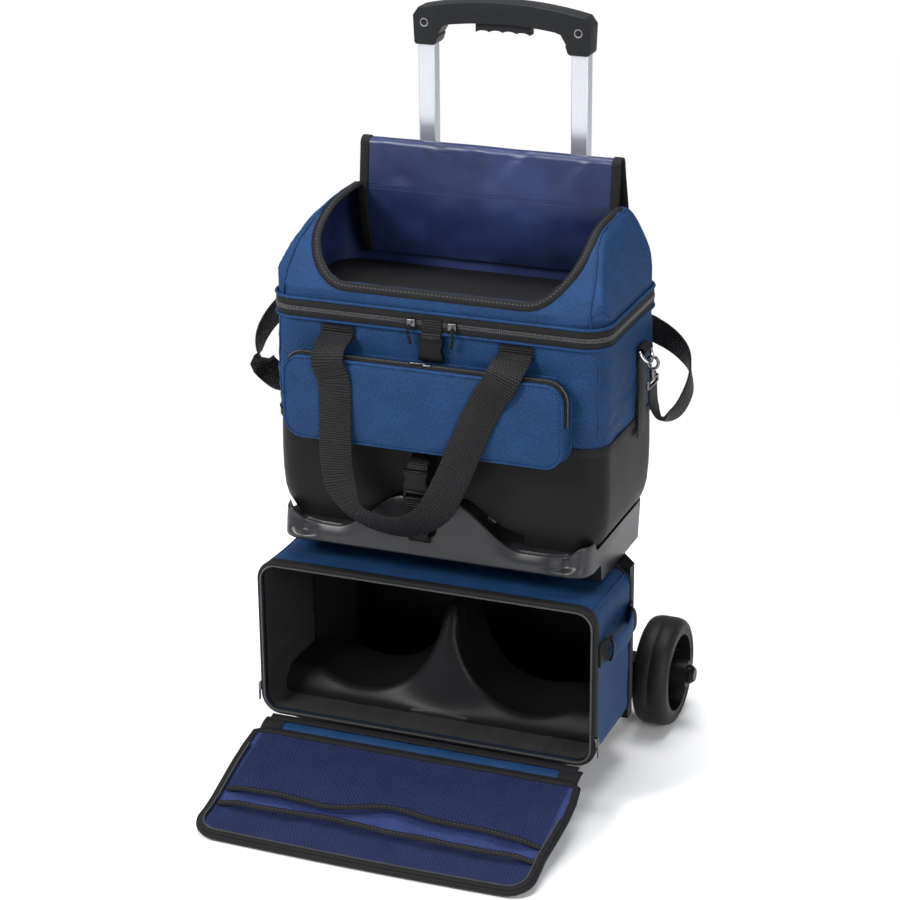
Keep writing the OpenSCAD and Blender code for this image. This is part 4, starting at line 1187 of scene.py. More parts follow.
class BAG_OT_door(Operator):
    """Builds the drop-down door with its binding, zip, netting pockets and hinge strip"""

    bl_idname = "bag.door"
    bl_label = "Door"

    def execute(self, context):
        joint = [j for j in frame["joints"] if j["name"] == "door_hinge"][0]
        hinge = Vector(joint["pos_m"]) / MM
        drop = radians(14.5)
        turn = Matrix.Translation(hinge) @ Matrix.Rotation(drop, 4, "X")
        w, length, near = 234.0, 236.0, -24.0

        def at(x, y, z):
            """Point on the door: y runs out from the hinge, z rises from its inside face."""
            sag = -2.2 * sin(pi * min(1, max(0, (-y - 24) / 212))) * cos(pi * x / 520)
            return turn @ Vector((x, y, z + sag))

        def outline(inset, n=9):
            r = 34.0 - inset
            ww = w - inset
            side = [(-32, -2), (-60, 1.5), (-95, 2.0), (-130, -0.5), (-165, -3.5), (-190, -3.0)]
            pts = [(ww + dx, y) for y, dx in side]
            for k in range(n + 1):
                a = radians(-90 * k / n)
                pts.append((ww - 3 - r + r * cos(a), -length + inset + r + r * sin(a)))
            for k in range(1, 20):
                x = (ww - 3 - r) * (1 - 2 * k / 20)
                pts.append((x, -length + inset - 2.5 * sin(pi * k / 20)))
            for k in range(n + 1):
                a = radians(-90 - 90 * k / n)
                pts.append((-ww + r + r * cos(a), -length + inset + r + r * sin(a)))
            pts += [(-ww - dx * 0.5, y) for y, dx in side[::-1]]
            pts += [(-ww + 10, near - inset)]
            for k in range(1, 20):
                pts.append(((-ww + 10) * (1 - 2 * k / 20), near - inset))
            pts += [(ww - 10, near - inset)]
            return pts

        # cloth panel: rings from the edge to the middle
        panel = Shape()
        edge = outline(5)
        middle = Vector((0, -130))
        for flip, z in ((False, -0.6), (True, -5.2)):
            rows = []
            for t in (0, 0.04, 0.12, 0.25, 0.4, 0.55, 0.7, 0.85, 0.97):
                row = []
                for x, y in edge:
                    q = Vector((x, y)).lerp(middle, t)
                    puff = 2.2 * wave((q.x * 1.3, q.y, 7), 48, 2) + wave((q.x * 2, q.y * 2, 7), 40, 4) - 0.5
                    puff *= smooth_step(t, 0, 0.2)
                    row.append(at(q.x, q.y, z + puff))
                rows.append(row)
            panel.grid(rows, close=True, flip=flip)
            panel.fan(rows[-1], flip=flip)
        flat = [turn.inverted() @ p for p in panel.points]
        panel.uvs = [[(flat[v].x * MM, flat[v].y * MM) for v in f] for f in panel.faces]
        obj = panel.object("door_cloth", cloth("navy"), "front_door", weld=False)
        obj.data.materials.append(cloth())
        for face in obj.data.polygons[len(panel.faces) // 2:]:
            face.material_index = 1
        stand_for(obj, "navy_coated", "door_panel")

        # binding with the zip on its outer edge
        bind, coil = Shape(), Shape()
        path = [at(x, y, -1.8) for x, y in outline(3.2)]
        up = turn.to_3x3() @ Vector((0, 0, 1))
        sweep(bind, path, [t.cross(up) for t in directions(path, True)], oval_profile(10.5, 8.4, 14),
              closed=True)
        zip_path = [at(x, y, 3.0) for x, y in outline(6.5)][2:-22]
        sides = [t.cross(up) for t in directions(zip_path)]
        sweep(bind, zip_path, sides, flat_profile(9, 1.6))
        cord(coil, [p + up * 1.2 + s * 2.6 for p, s in zip(zip_path, sides)], 1.4)
        stand_for(bind.object("door_edge", tape(), "front_door"), "black_binding", "door_binding")
        stand_for(coil.object("door_zip_coil", zip_teeth(), "front_door"), "black_binding")

        # netting pockets that face each other, with elastic hems
        nets, hems = Shape(), Shape()
        half = 219.0
        corner = 34.0
        xs = [-half + 2 * half * i / 72 for i in range(73)]

        def hem_line(x, y0, wobble, seed):
            return y0 + wobble * (9 * sin(x / 62 + seed) + 4 * sin(x / 23 + 1.7 * seed)) * cos(pi * x / 500)

        def swell(x, y, seed, rise, t):
            """Height of a pocket over its sewn edges; t runs from the sewn side to the hem."""
            fade = smooth_step(half - abs(x), 0, 30)
            return rise * smooth_step(t, 0, 0.8) * fade + 1.1 * wave((x, y, 3), 34, seed) * fade * t

        for sewn, free, wobble, seed, rise in ((-33.0, -146.0, 1.0, 0.8, 7.5),
                                               (-230.0, -176.0, 0.35, 2.6, 6.0)):
            rows = []
            for t in [j / 24 for j in range(25)]:
                row = []
                for x in xs:
                    inset = max(0.0, abs(x) - half + corner) ** 2 / 60 if sewn < -100 else 0
                    y = (sewn + inset) * (1 - t) + hem_line(x, free, wobble, seed) * t
                    row.append(at(x, y, 1.2 + swell(x, y, seed, rise, t)))
                rows.append(row)
            nets.grid(rows)
            line = [(x, hem_line(x, free, wobble, seed)) for x in xs]
            line = [at(x, y, 1.8 + swell(x, y, seed, rise, 1)) for x, y in line]
            sweep(hems, line, turn.to_3x3() @ Vector((0, 1, 0)), flat_profile(9, 2.0))
        netting_obj = nets.object("door_netting", netting(), "front_door", weld=False)
        stand_for(netting_obj, "navy_mesh", "door_mesh_pockets")
        hem_obj = stand_for(hems.object("door_netting_hems", stitched(), "front_door"), "black_binding")

        # bright hinge strip between two dark tapes, with gusset ends
        strip = Shape()
        half_s = cad("door_hinge_strip")[1].x
        rows = []
        for j in range(9):
            t = j / 8
            row = []
            for i in range(49):
                x = -half_s + 2 * half_s * i / 48
                bow = 2.6 * sin(pi * t) + 0.9 * wave((x, 20 * t, 1), 26, 5)
                row.append(turn @ Vector((x, -1.5 + (near + 1.5) * t, -2 + bow)))
            rows.append(row)
        strip.grid(rows)
        strip_obj = stand_for(strip.object("door_hinge_cloth", cloth(), "front_door", weld=False),
                              "blue_fabric", "door_hinge_strip")
        tapes = Shape()
        for y, z, wd in ((0.5, 1.0, 11), (near - 1, 0.6, 8)):
            line = [turn @ Vector((-w + 14 + (2 * w - 28) * i / 30, y, z)) for i in range(31)]
            sweep(tapes, line, turn.to_3x3() @ Vector((0, 1, 0)), flat_profile(wd, 2.4))
        for s in (-1, 1):
            line = [turn @ Vector((s * (half_s + 12), -1 + (near + 1) * t, -1 + 1.5 * sin(pi * t)))
                    for t in [k / 6 for k in range(7)]]
            sweep(tapes, line, Vector((1, 0, 0)), flat_profile(30, 2.4))
        tape_obj = stand_for(tapes.object("door_hinge_tapes", tape(), "front_door"), "black_binding")

        for word in ("left", "right"):
            low, high = cad(f"door_slider_{word}")
            side = -1 if word == "left" else 1
            x0, x1 = sorted((low.x, high.x))
            inner = min(abs(x0), abs(x1))
            parts = [((side * (inner + 1.8) - 1.8, low.y, high.z - 12),
                      (side * (inner + 1.8) + 1.8, high.y, high.z), 1.2),
                     ((side * (inner + 4.2) - 0.8, low.y + 1.6, low.z),
                      (side * (inner + 4.2) + 0.8, high.y - 1.6, high.z - 3), 0.6)]
            stand_for(boxes(f"door_zip_pull_{word}", parts, steel("zip_dark", 0.3, 0.12),
                            f"door_slider_{word}"),
                      "zip_metal", f"door_slider_{word}")
        return {"FINISHED"}


# ---- tote ----


class BAG_OT_tote_base(Operator):
    """Builds the tote's moulded base with its notch for the tray's hump"""

    bl_idname = "bag.tote_base"
    bl_label = "Tote base"

    def execute(self, context):
        low, high = cad("tote_base")
        w, d = high.x - low.x, high.y - low.y
        cy = (low.y + high.y) / 2
        shape = Shape()
        rows = []
        levels = [(0, 26), (1.2, 19), (5, 13), (12, 8), (22, 4), (36, 1.0), (60, -0.6), (90, -1.0),
                  (118, -0.6), (134, -0.2),
                  (high.z - low.z, -0.2)]
        for z, inset in levels:
            ring = []
            for p, q in rrect(w, d, 34, 10):
                side_in = inset * (abs(q.x) ** 1.2) + min(inset, 9) * (abs(q.y) ** 1.2) * 0.9
                ring.append(Vector((p.x - q.x * side_in, cy + p.y - q.y * side_in, low.z + z)))
            rows.append(ring)
        top = [Vector((p.x * 0.97, cy + (p.y - cy) * 0.95, high.z)) for p in rows[-1]]
        rows.append(top)
        shape.grid(rows, close=True)
        shape.fan(rows[0], flip=True)
        shape.fan(rows[-1])
        base = shape.object("tote_base_shell", moulded("base_black", 0.5, 1.15), "tote", angle=60)
        hz = low.z
        notch = [(-122, hz - 3), (122, hz - 3), (120, hz + 14), (104, hz + 19), (92, hz + 24),
                 (70, hz + 40), (52, hz + 54),
                 (44, hz + 57), (-44, hz + 57), (-52, hz + 54), (-70, hz + 40), (-92, hz + 24),
                 (-104, hz + 19), (-120, hz + 14)]
        cut(base, prism(notch, low.y - 6, low.y + 15))
        stand_for(base, "moulded_black", "tote_base")
        rivets = Shape()
        for x in (-66, 74):
            rows = []
            for q, y in ((6.5, low.y + 14.8), (6.2, low.y + 12.6), (4.2, low.y + 11.6), (0.1, low.y + 11.2)):
                rows.append([Vector((x + q * cos(a), y, hz + 26 + q * sin(a))) for a in circle(20)])
            rivets.grid(rows, close=True)
        stand_for(rivets.object("base_rivets", steel("rivet_dark", 0.35, 0.25), "tote"), "moulded_black")
        return {"FINISHED"}


def tote_ring(z, out, step=9.0, seed=0.0, amount=0.0, r=32.0):
    """Ring of points round the tote at height z, moved out by out, with folds."""
    low, high = cad("tote_body")
    w, d, cy = high.x - low.x, high.y - low.y, (low.y + high.y) / 2
    ring = []
    for p, q in rrect(w, d, r, 10, step):
        x, y = p.x, p.y + cy
        fine = 0.5 * wave((x * 1.6, y * 1.6, z * 5), 30, seed + 4)
        fold = amount * (wave((x, y, z * 2.6), 38, seed) + fine)
        o = out(z, q) if callable(out) else out
        ring.append(Vector((x + q.x * (o + fold), y + q.y * (o + fold), z)))
    return ring


class BAG_OT_tote_body(Operator):
    """Builds the tote's cloth walls, the seam band and the panel piping"""

    bl_idname = "bag.tote_body"
    bl_label = "Tote body"

    def execute(self, context):
        low, high = cad("tote_body")
        h = high.z - low.z
        amount = bag().wrinkle / MM

        def bulge(z, q):
            t = (z - low.z) / h
            return 3.2 * sin(pi * t) * (0.5 + 0.5 * abs(q.y)) - 1.0 * t + 0.4

        shape = Shape()
        rows = []
        for k in range(29):
            t = k / 28
            fade = sin(pi * t) ** 0.5 if 0 < t < 1 else 0
            rows.append(tote_ring(low.z - 1 + (h + 2) * t, bulge, 7.0, 1.0, amount * fade))
        rows.append(tote_ring(high.z + 1, -4.0, 7.0))
        rows.append(tote_ring(low.z - 1, -4.0, 7.0))
        rows.append(list(rows[0]))
        shape.grid(rows, close=True)
        stand_for(shape.object("tote_cloth", cloth(), "tote"), "blue_fabric", "tote_body")

        band = Shape()
        sl, sh = cad("seam_band")
        zc = (sl.z + sh.z) / 2
        sweep(band, tote_ring(zc, 1.0), Vector((0, 0, 1)), flat_profile(11.5, 2.2), closed=True)
        cord(band, tote_ring(zc + 5.5, 1.6), 1.5, closed=True)
        stand_for(band.object("tote_seam_band", tape(), "tote"), "black_webbing", "seam_band")

        pipes = Shape()
        for side in (-1, 1):
            x = side * (high.x - 10.5)
            for y in (low.y + 10.5, high.y - 10.5):
                sy = -1 if y < 100 else 1
                line = []
                for k in range(15):
                    t = k / 14
                    z = low.z + 3 + (h - 5) * t
                    o = 2.2 * sin(pi * t)
                    line.append(Vector((x + side * (o + 0.8), y + sy * (o + 0.8), z)))
                cord(pipes, line, 1.2)
        stand_for(pipes.object("tote_panel_piping", cloth(), "tote"), "blue_fabric")
        return {"FINISHED"}


class BAG_OT_zip_band(Operator):
    """Builds the zip that joins the tote to its shoe section"""

    bl_idname = "bag.zip_band"
    bl_label = "Main zip"

    def execute(self, context):
        ll, lh = cad("lower_zip_tape")
        ul, uh = cad("upper_zip_tape")
        z0, z1, z2, z3 = ll.z, lh.z, ul.z, uh.z
        for name, body, a, b, node in (("zip_tape_low", "tote", z0, z1, "lower_zip_tape"),
                                       ("zip_tape_high", "shoe_lid", z2, z3, "upper_zip_tape")):
            s = Shape()
            rows = []
            for t, o in ((0, 0.6), (0, 1.9), (0.25, 2.9), (0.6, 3.0), (0.92, 2.5), (1, 1.8), (1, -2.0),
                         (0, -2.0), (0, 0.6)):
                zz = a + (b - a) * (t if body == "tote" else 1 - t)
                rows.append(tote_ring(zz, o, 9.0))
            s.grid(rows, close=True)
            stand_for(s.object(name, tape(), body), "black_binding", node)
        for name, body, z in (("zip_coil_low", "tote", z1 - 0.8), ("zip_coil_high", "shoe_lid", z2 + 1.2)):
            coil = Shape()
            sweep(coil, tote_ring(z, 2.6), Vector((0, 0, 1)), oval_profile(3.4, 2.6, 8), closed=True)
            stand_for(coil.object(name, zip_teeth(), body), "black_binding")
        for name, body, z, o in (("zip_piping_low", "tote", z0 - 0.5, 2.4),
                                 ("zip_piping_high", "shoe_lid", z3 + 1.2, 2.6)):
            p = Shape()
            cord(p, tote_ring(z, o), 2.1, closed=True)
            stand_for(p.object(name, cloth(), body), "blue_fabric")
        return {"FINISHED"}


class BAG_OT_pocket(Operator):
    """Builds the padded front pocket with its zip and piping"""

    bl_idname = "bag.pocket"
    bl_label = "Front pocket"

    def execute(self, context):
        low, high = cad("front_pocket")
        cx, cz = (low.x + high.x) / 2, (low.z + high.z) / 2
        w, h = high.x - low.x, high.z - low.z
        front, back = low.y, high.y

        def ring(inset, y, soft=0.0, step=9.0):
            out = []
            r = max(4.0, 25 - inset * 0.5)
            for p, _ in rrect(w - 2 * inset, h - 2 * inset, r, 9, step, (w, h, 25)):
                x, z = cx + p.x, cz + p.y
                d = soft * (wave((x, 0, z * 1.5), 44, 6) + 0.5 * wave((x * 2, 1, z * 2.4), 40, 8))
                out.append(Vector((x, y - d, z)))
            return out

        shape = Shape()
        rows = [ring(0.5, back + 0.5), ring(-0.6, back - 6), ring(-0.8, (front + back) / 2),
                ring(0, front + 7), ring(0.6, front + 4),
                ring(2.2, front + 2.6), ring(5, front + 1.2, 0.4), ring(11, front - 0.6, 0.9),
                ring(20, front - 2.0, 1.3),
                ring(30, front - 2.8, 1.6), ring(40, front - 3.2, 1.6), ring(48, front - 3.4, 1.5)]
        shape.grid(rows, close=True)
        shape.fan(rows[-1])
        for i, f in enumerate(shape.faces):
            ys = [shape.points[v].y for v in f]
            if max(ys) < front + 4.5:
                shape.uvs[i] = [(shape.points[v].x * MM, shape.points[v].z * MM) for v in f]
        obj = shape.object("pocket_cloth", cloth(), "tote", angle=60)
        stand_for(obj, "blue_fabric", "front_pocket")

        pipes = Shape()
        cord(pipes, [p + Vector((0, -0.2, 0)) for p in ring(1.2, front + 2.8)], 1.6, closed=True,
             hint=Vector((0, 1, 0)))
        cord(pipes, ring(-1.0, back - 2.2), 1.6, closed=True, hint=Vector((0, 1, 0)))
        stand_for(pipes.object("pocket_piping", cloth(), "tote"), "blue_fabric")

        # zip along the top gusset and down both shoulders
        line = ring(-0.9, (front + back) / 2 - 1, 0.0, 9.0)
        norm = [q for _, q in rrect(w, h, 25, 9, 9.0)]
        keep = [(p, n) for p, n in zip(line, norm) if p.z > cz + (-8 if p.x > cx else 28)]
        keep.sort(key=lambda e: atan2(e[0].z - cz + 60, e[0].x - cx))
        path = [p for p, _ in keep]
        normals = [Vector((n.x, 0, n.y)) for _, n in keep]
        tapes, coil = Shape(), Shape()
        sweep(tapes, path, Vector((0, 1, 0)), flat_profile(17, 1.8))
        sweep(coil, [p + n * 1.3 for p, n in zip(path, normals)], Vector((0, 1, 0)),
              oval_profile(4.4, 2.4, 8))
        stand_for(tapes.object("pocket_zip_tape", tape(), "tote"), "black_binding")
        stand_for(coil.object("pocket_zip_coil", zip_teeth(), "tote"), "black_binding")
        sl, sh = cad("pocket_slider")
        parts = [((sh.x - 12, sl.y, sl.z + 0.4), (sh.x, sh.y, sl.z + 4.4), 1.4),
                 ((sl.x, sl.y + 1.5, sl.z + 3.4), (sh.x - 9, sh.y - 1.5, sl.z + 5.2), 0.8)]
        stand_for(boxes("pocket_zip_pull", parts, steel("zip_dark", 0.3, 0.12), "pocket_slider"),
                  "zip_metal", "pocket_slider")
        return {"FINISHED"}


class BAG_OT_handles(Operator):
    """Builds the carry handles of ribbed webbing"""

    bl_idname = "bag.handles"
    bl_label = "Carry handles"

    def execute(self, context):
        top = cad("front_handle")[1].z
        a = -7.0
        b = cad("front_pocket")[0].y - 5
        over = top - cad("front_pocket")[1].z
        points = [(-132, a, top), (-132, a - 8, top - 5), (-132, a - 23, top - 10), (-131, b, top - over + 7),
                  (-129, b - 2, top - over - 6), (-121, b, top - 60), (-121, b - 2, top - 130),
                  (-116, b - 4, top - 186), (-92, b - 7, top - 226),
                  (-50, b - 9, top - 239), (-14, b - 9, top - 235), (17, b - 7, top - 212),
                  (40, b - 4, top - 168),
                  (62, b - 2, top - 114), (85, b, top - 62), (103, b - 2, top - over - 6),
                  (109, b, top - over + 7),
                  (112, a - 23, top - 10), (113, a - 8, top - 5), (113, a, top)]
        path = curve(points, 6)
        sides = [t.cross(Vector((0, -1, -0.75 * smooth_step(440 - p.z, 0, 60))))
                 for p, t in zip(path, directions(path))]
        shape = Shape()
        sweep(shape, path, sides, flat_profile(46, 2.6))
        stand_for(shape.object("front_handle_webbing", webbing(), "front_handle", angle=60),
                  "black_webbing", "front_handle")
        tabs = Shape()
        for x in (-132, 113):
            line = [Vector((x, -4.6, top - 8)), Vector((x, -4.6, top + 1)), Vector((x, -4.6, top + 10))]
            sweep(tabs, line, Vector((1, 0, 0)), flat_profile(47, 2.8))
        stand_for(tabs.object("front_handle_tabs", webbing(), "tote"), "black_webbing")

        low, high = cad("rear_handle")
        y = (low.y + high.y) / 2
        half = high.x - 20
        leg = [(-half, y, high.z), (-half, y, high.z - 40), (-half + 4, y, high.z - 110),
               (-half + 34, y, high.z - 176), (-half + 88, y, low.z + 20)]
        path = curve(leg + [(-x, y, z) for x, y, z in leg[::-1]], 6)
        shape = Shape()
        sweep(shape, path, [t.cross(Vector((0, -1, 0))) for t in directions(path)], flat_profile(46, 2.6))
        stand_for(shape.object("rear_handle_webbing", webbing(), "rear_handle", angle=60),
                  "black_webbing", "rear_handle")
        return {"FINISHED"}


class BAG_OT_side_fittings(Operator):
    """Builds the side tabs, rings, snap hooks and the shoulder strap"""

    bl_idname = "bag.side_fittings"
    bl_label = "Side fittings and strap"

    def execute(self, context):
        low, high = cad("side_tabs")
        wall = TOTE_HALF
        y = (low.y + high.y) / 2
        loop_z = high.z - 6
        loop_x = 7.2
        tilt = radians(28)
        tabs, rings, hooks = Shape(), Shape(), Shape()
        for s in (-1, 1):

            def at(x, dy, z):
                return Vector((s * (wall + x), y + dy, z))

            front = curve([at(4.4, 0, low.z), at(5.0, 0, low.z + 40), at(4.4, 0, loop_z - 8),
                           at(5.4, 0, loop_z - 4),
                           at(loop_x + 4.2, 0, loop_z - 2.5), at(loop_x + 4.9, 0, loop_z + 2),
                           at(loop_x + 1, 0, loop_z + 5.4),
                           at(loop_x - 3, 0, loop_z + 5.2), at(3.4, 0, loop_z - 4), at(3.0, 0, low.z + 30)],
                           5)
            sweep(tabs, front, Vector((0, 1, 0)), flat_profile(32, 2.0))
            ring = [at(loop_x, -19, loop_z), at(loop_x, -10, loop_z), at(loop_x, 0, loop_z),
                    at(loop_x, 10, loop_z),
                    at(loop_x, 19, loop_z)]
            for k in range(1, 14):
                ang = pi * k / 14
                d = 19 * sin(ang)
                ring.append(at(loop_x + d * sin(tilt), 19 * cos(ang), loop_z - d * cos(tilt)))
            cord(rings, curve(ring, 3, closed=True), 2.3, closed=True, n=12, hint=Vector((0, 0, 1)))
            hx = loop_x + 19 * sin(tilt) + 2.8
            hz = loop_z - 19 * cos(tilt) - 1
            eye_path = [at(hx + 7.4 * cos(a), 0, hz + 8.4 * sin(a)) for a in circle(28)]
            cord(hooks, eye_path, 2.1, closed=True, n=10, hint=Vector((0, 1, 0)))
            cord(hooks, [at(hx, 0, hz - 8), at(hx, 0, hz - 13), at(hx, 0, hz - 17), at(hx, 0, hz - 22)],
                 3.6, n=14,
                 hint=Vector((0, 1, 0)))
            cord(hooks, [at(hx, 0, hz - 12), at(hx, 0, hz - 14)], 5.0, n=14, hint=Vector((0, 1, 0)))
            bar = [at(hx, dy, hz + dz) for dy, dz in (
                (-19, -22.5), (0, -22.5), (19, -22.5), (20, -26), (19, -30), (0, -30.5), (-19, -30),
                (-20, -26))]
            cord(hooks, curve(bar, 4, closed=True), 2.2, closed=True, n=10, hint=Vector((1, 0, 0)))
        stand_for(tabs.object("side_tab_webbing", webbing(), "tote"), "black_webbing", "side_tabs")
        stand_for(rings.object("d_ring_wire", steel("ring_metal", 0.2, 0.62), "tote"), "ring_metal",
                  "d_rings")
        stand_for(hooks.object("snap_hook_metal", steel("hook_metal", 0.28, 0.16), "tote"), "buckle_black",
                  "snap_hooks")

        tote_x, tab_y, tote_back = wall, y, TOTE_BACK
        end_x = tote_x + hx
        z = hz - 31.5
        route = [(end_x, tab_y, z), (end_x + 3, tab_y, z - 26), (end_x + 14, tab_y + 4, z - 44),
                 (end_x + 32, tab_y + 18, z - 34),
                 (end_x + 40, tab_y + 40, z - 4), (end_x + 26, tab_y + 64, z + 24),
                 (tote_x + 2, tote_back + 9, z + 42),
                 (tote_x - 50, tote_back + 12, z + 50), (0, tote_back + 12, z + 40),
                 (-tote_x + 50, tote_back + 12, z + 52),
                 (-tote_x - 2, tote_back + 9, z + 58), (-tote_x - 38, tab_y + 44, z + 60),
                 (-tote_x - 48, tab_y - 26, z + 52),
                 (-tote_x - 50, tab_y - 78, z + 30), (-tote_x - 44, tab_y - 88, z),
                 (-end_x - 18, tab_y - 40, z - 40),
                 (-end_x - 10, tab_y - 4, z - 44), (-end_x - 3, tab_y, z - 26), (-end_x, tab_y, z)]
        path = curve(route, 8)
        # the webbing turns from flat on the hook's bar to upright over the first stretch
        last, turned = len(path) - 1, 48
        sides = []
        for i in range(last + 1):
            f = min(1.0, min(i, last - i) / turned)
            sides.append(Vector((0, f - 1, f)))
        strap = Shape()
        sweep(strap, path, sides, flat_profile(36, 2.4))
        stand_for(strap.object("shoulder_strap_webbing", webbing(), "tote", angle=60), "black_webbing",
                  "shoulder_strap")
        return {"FINISHED"}


# ---- shoe section and flap ----


class Dome:
    """Height of the shoe section's top over a place on the tote."""

    def __init__(self):
        low, high = cad("shoe_section")
        self.top = high.z
        self.x = TOTE_HALF
        self.front, self.back = -2.0, TOTE_BACK
        self.low = low.z
        self.r = 165.0
        self.cy = self.front + 146.7
        self.cz = self.top - 3.6 - self.r * sin(radians(98))

    @staticmethod
    def soft_min(a, b, k):
        h = max(0.0, min(1.0, 0.5 + 0.5 * (b - a) / k))
        return b * (1 - h) + a * h - k * h * (1 - h)

    def height(self, x, y):
        d = y - self.cy
        arc = self.cz + sqrt(max(0.0, self.r ** 2 - d * d)) if d < 0 else self.top
        arc = max(arc, self.low + 17)
        side = self.top + 1 - max(0.0, abs(x) - (self.x - 46)) ** 2 / 23
        side = self.soft_min(side, self.low + 34 + (self.x - abs(x)) * 6.0, 8)
        rear = self.low + 22 + (self.back + 1 - y) * 4.4
        z = self.soft_min(arc, side, 12)
        z = self.soft_min(z, rear, 22)
        return max(self.low + 15, z)

    def open_edge(self, grow=0.0, steps=16):
        """Outline of the opening seen from above, from the right hinge round the front to the left."""
        w, y0, y1, rx, ry = 182.0 + grow, 3.5 - grow, 190.0, 62.0 + grow, 64.0 + grow
        pts = [(w, y1 + (y0 + ry - y1) * k / 14) for k in range(14)]
        for k in range(steps + 1):
            a = pi / 2 * k / steps
            pts.append((w - rx + rx * cos(a) ** 0.9, y0 + ry - ry * sin(a) ** 0.9))
        pts += [((w - rx) * (1 - 2 * k / 18), y0) for k in range(1, 18)]
        for k in range(steps + 1):
            a = pi / 2 * (1 - k / steps)
            pts.append((-w + rx - rx * cos(a) ** 0.9, y0 + ry - ry * sin(a) ** 0.9))
        pts += [(-w, y0 + ry + (y1 - y0 - ry) * k / 14) for k in range(1, 15)]
        return pts

    def inside(self, x, y, grow=0.0):
        w, y0, y1, rx, ry = 182.0 + grow, 3.5 - grow, 191.0, 62.0 + grow, 64.0 + grow
        if abs(x) > w or y < y0 or y > y1:
            return False
        if y < y0 + ry and abs(x) > w - rx:
            u, v = (abs(x) - w + rx) / rx, (y0 + ry - y) / ry
            return u ** 2.2 + v ** 2.2 < 1
        return True


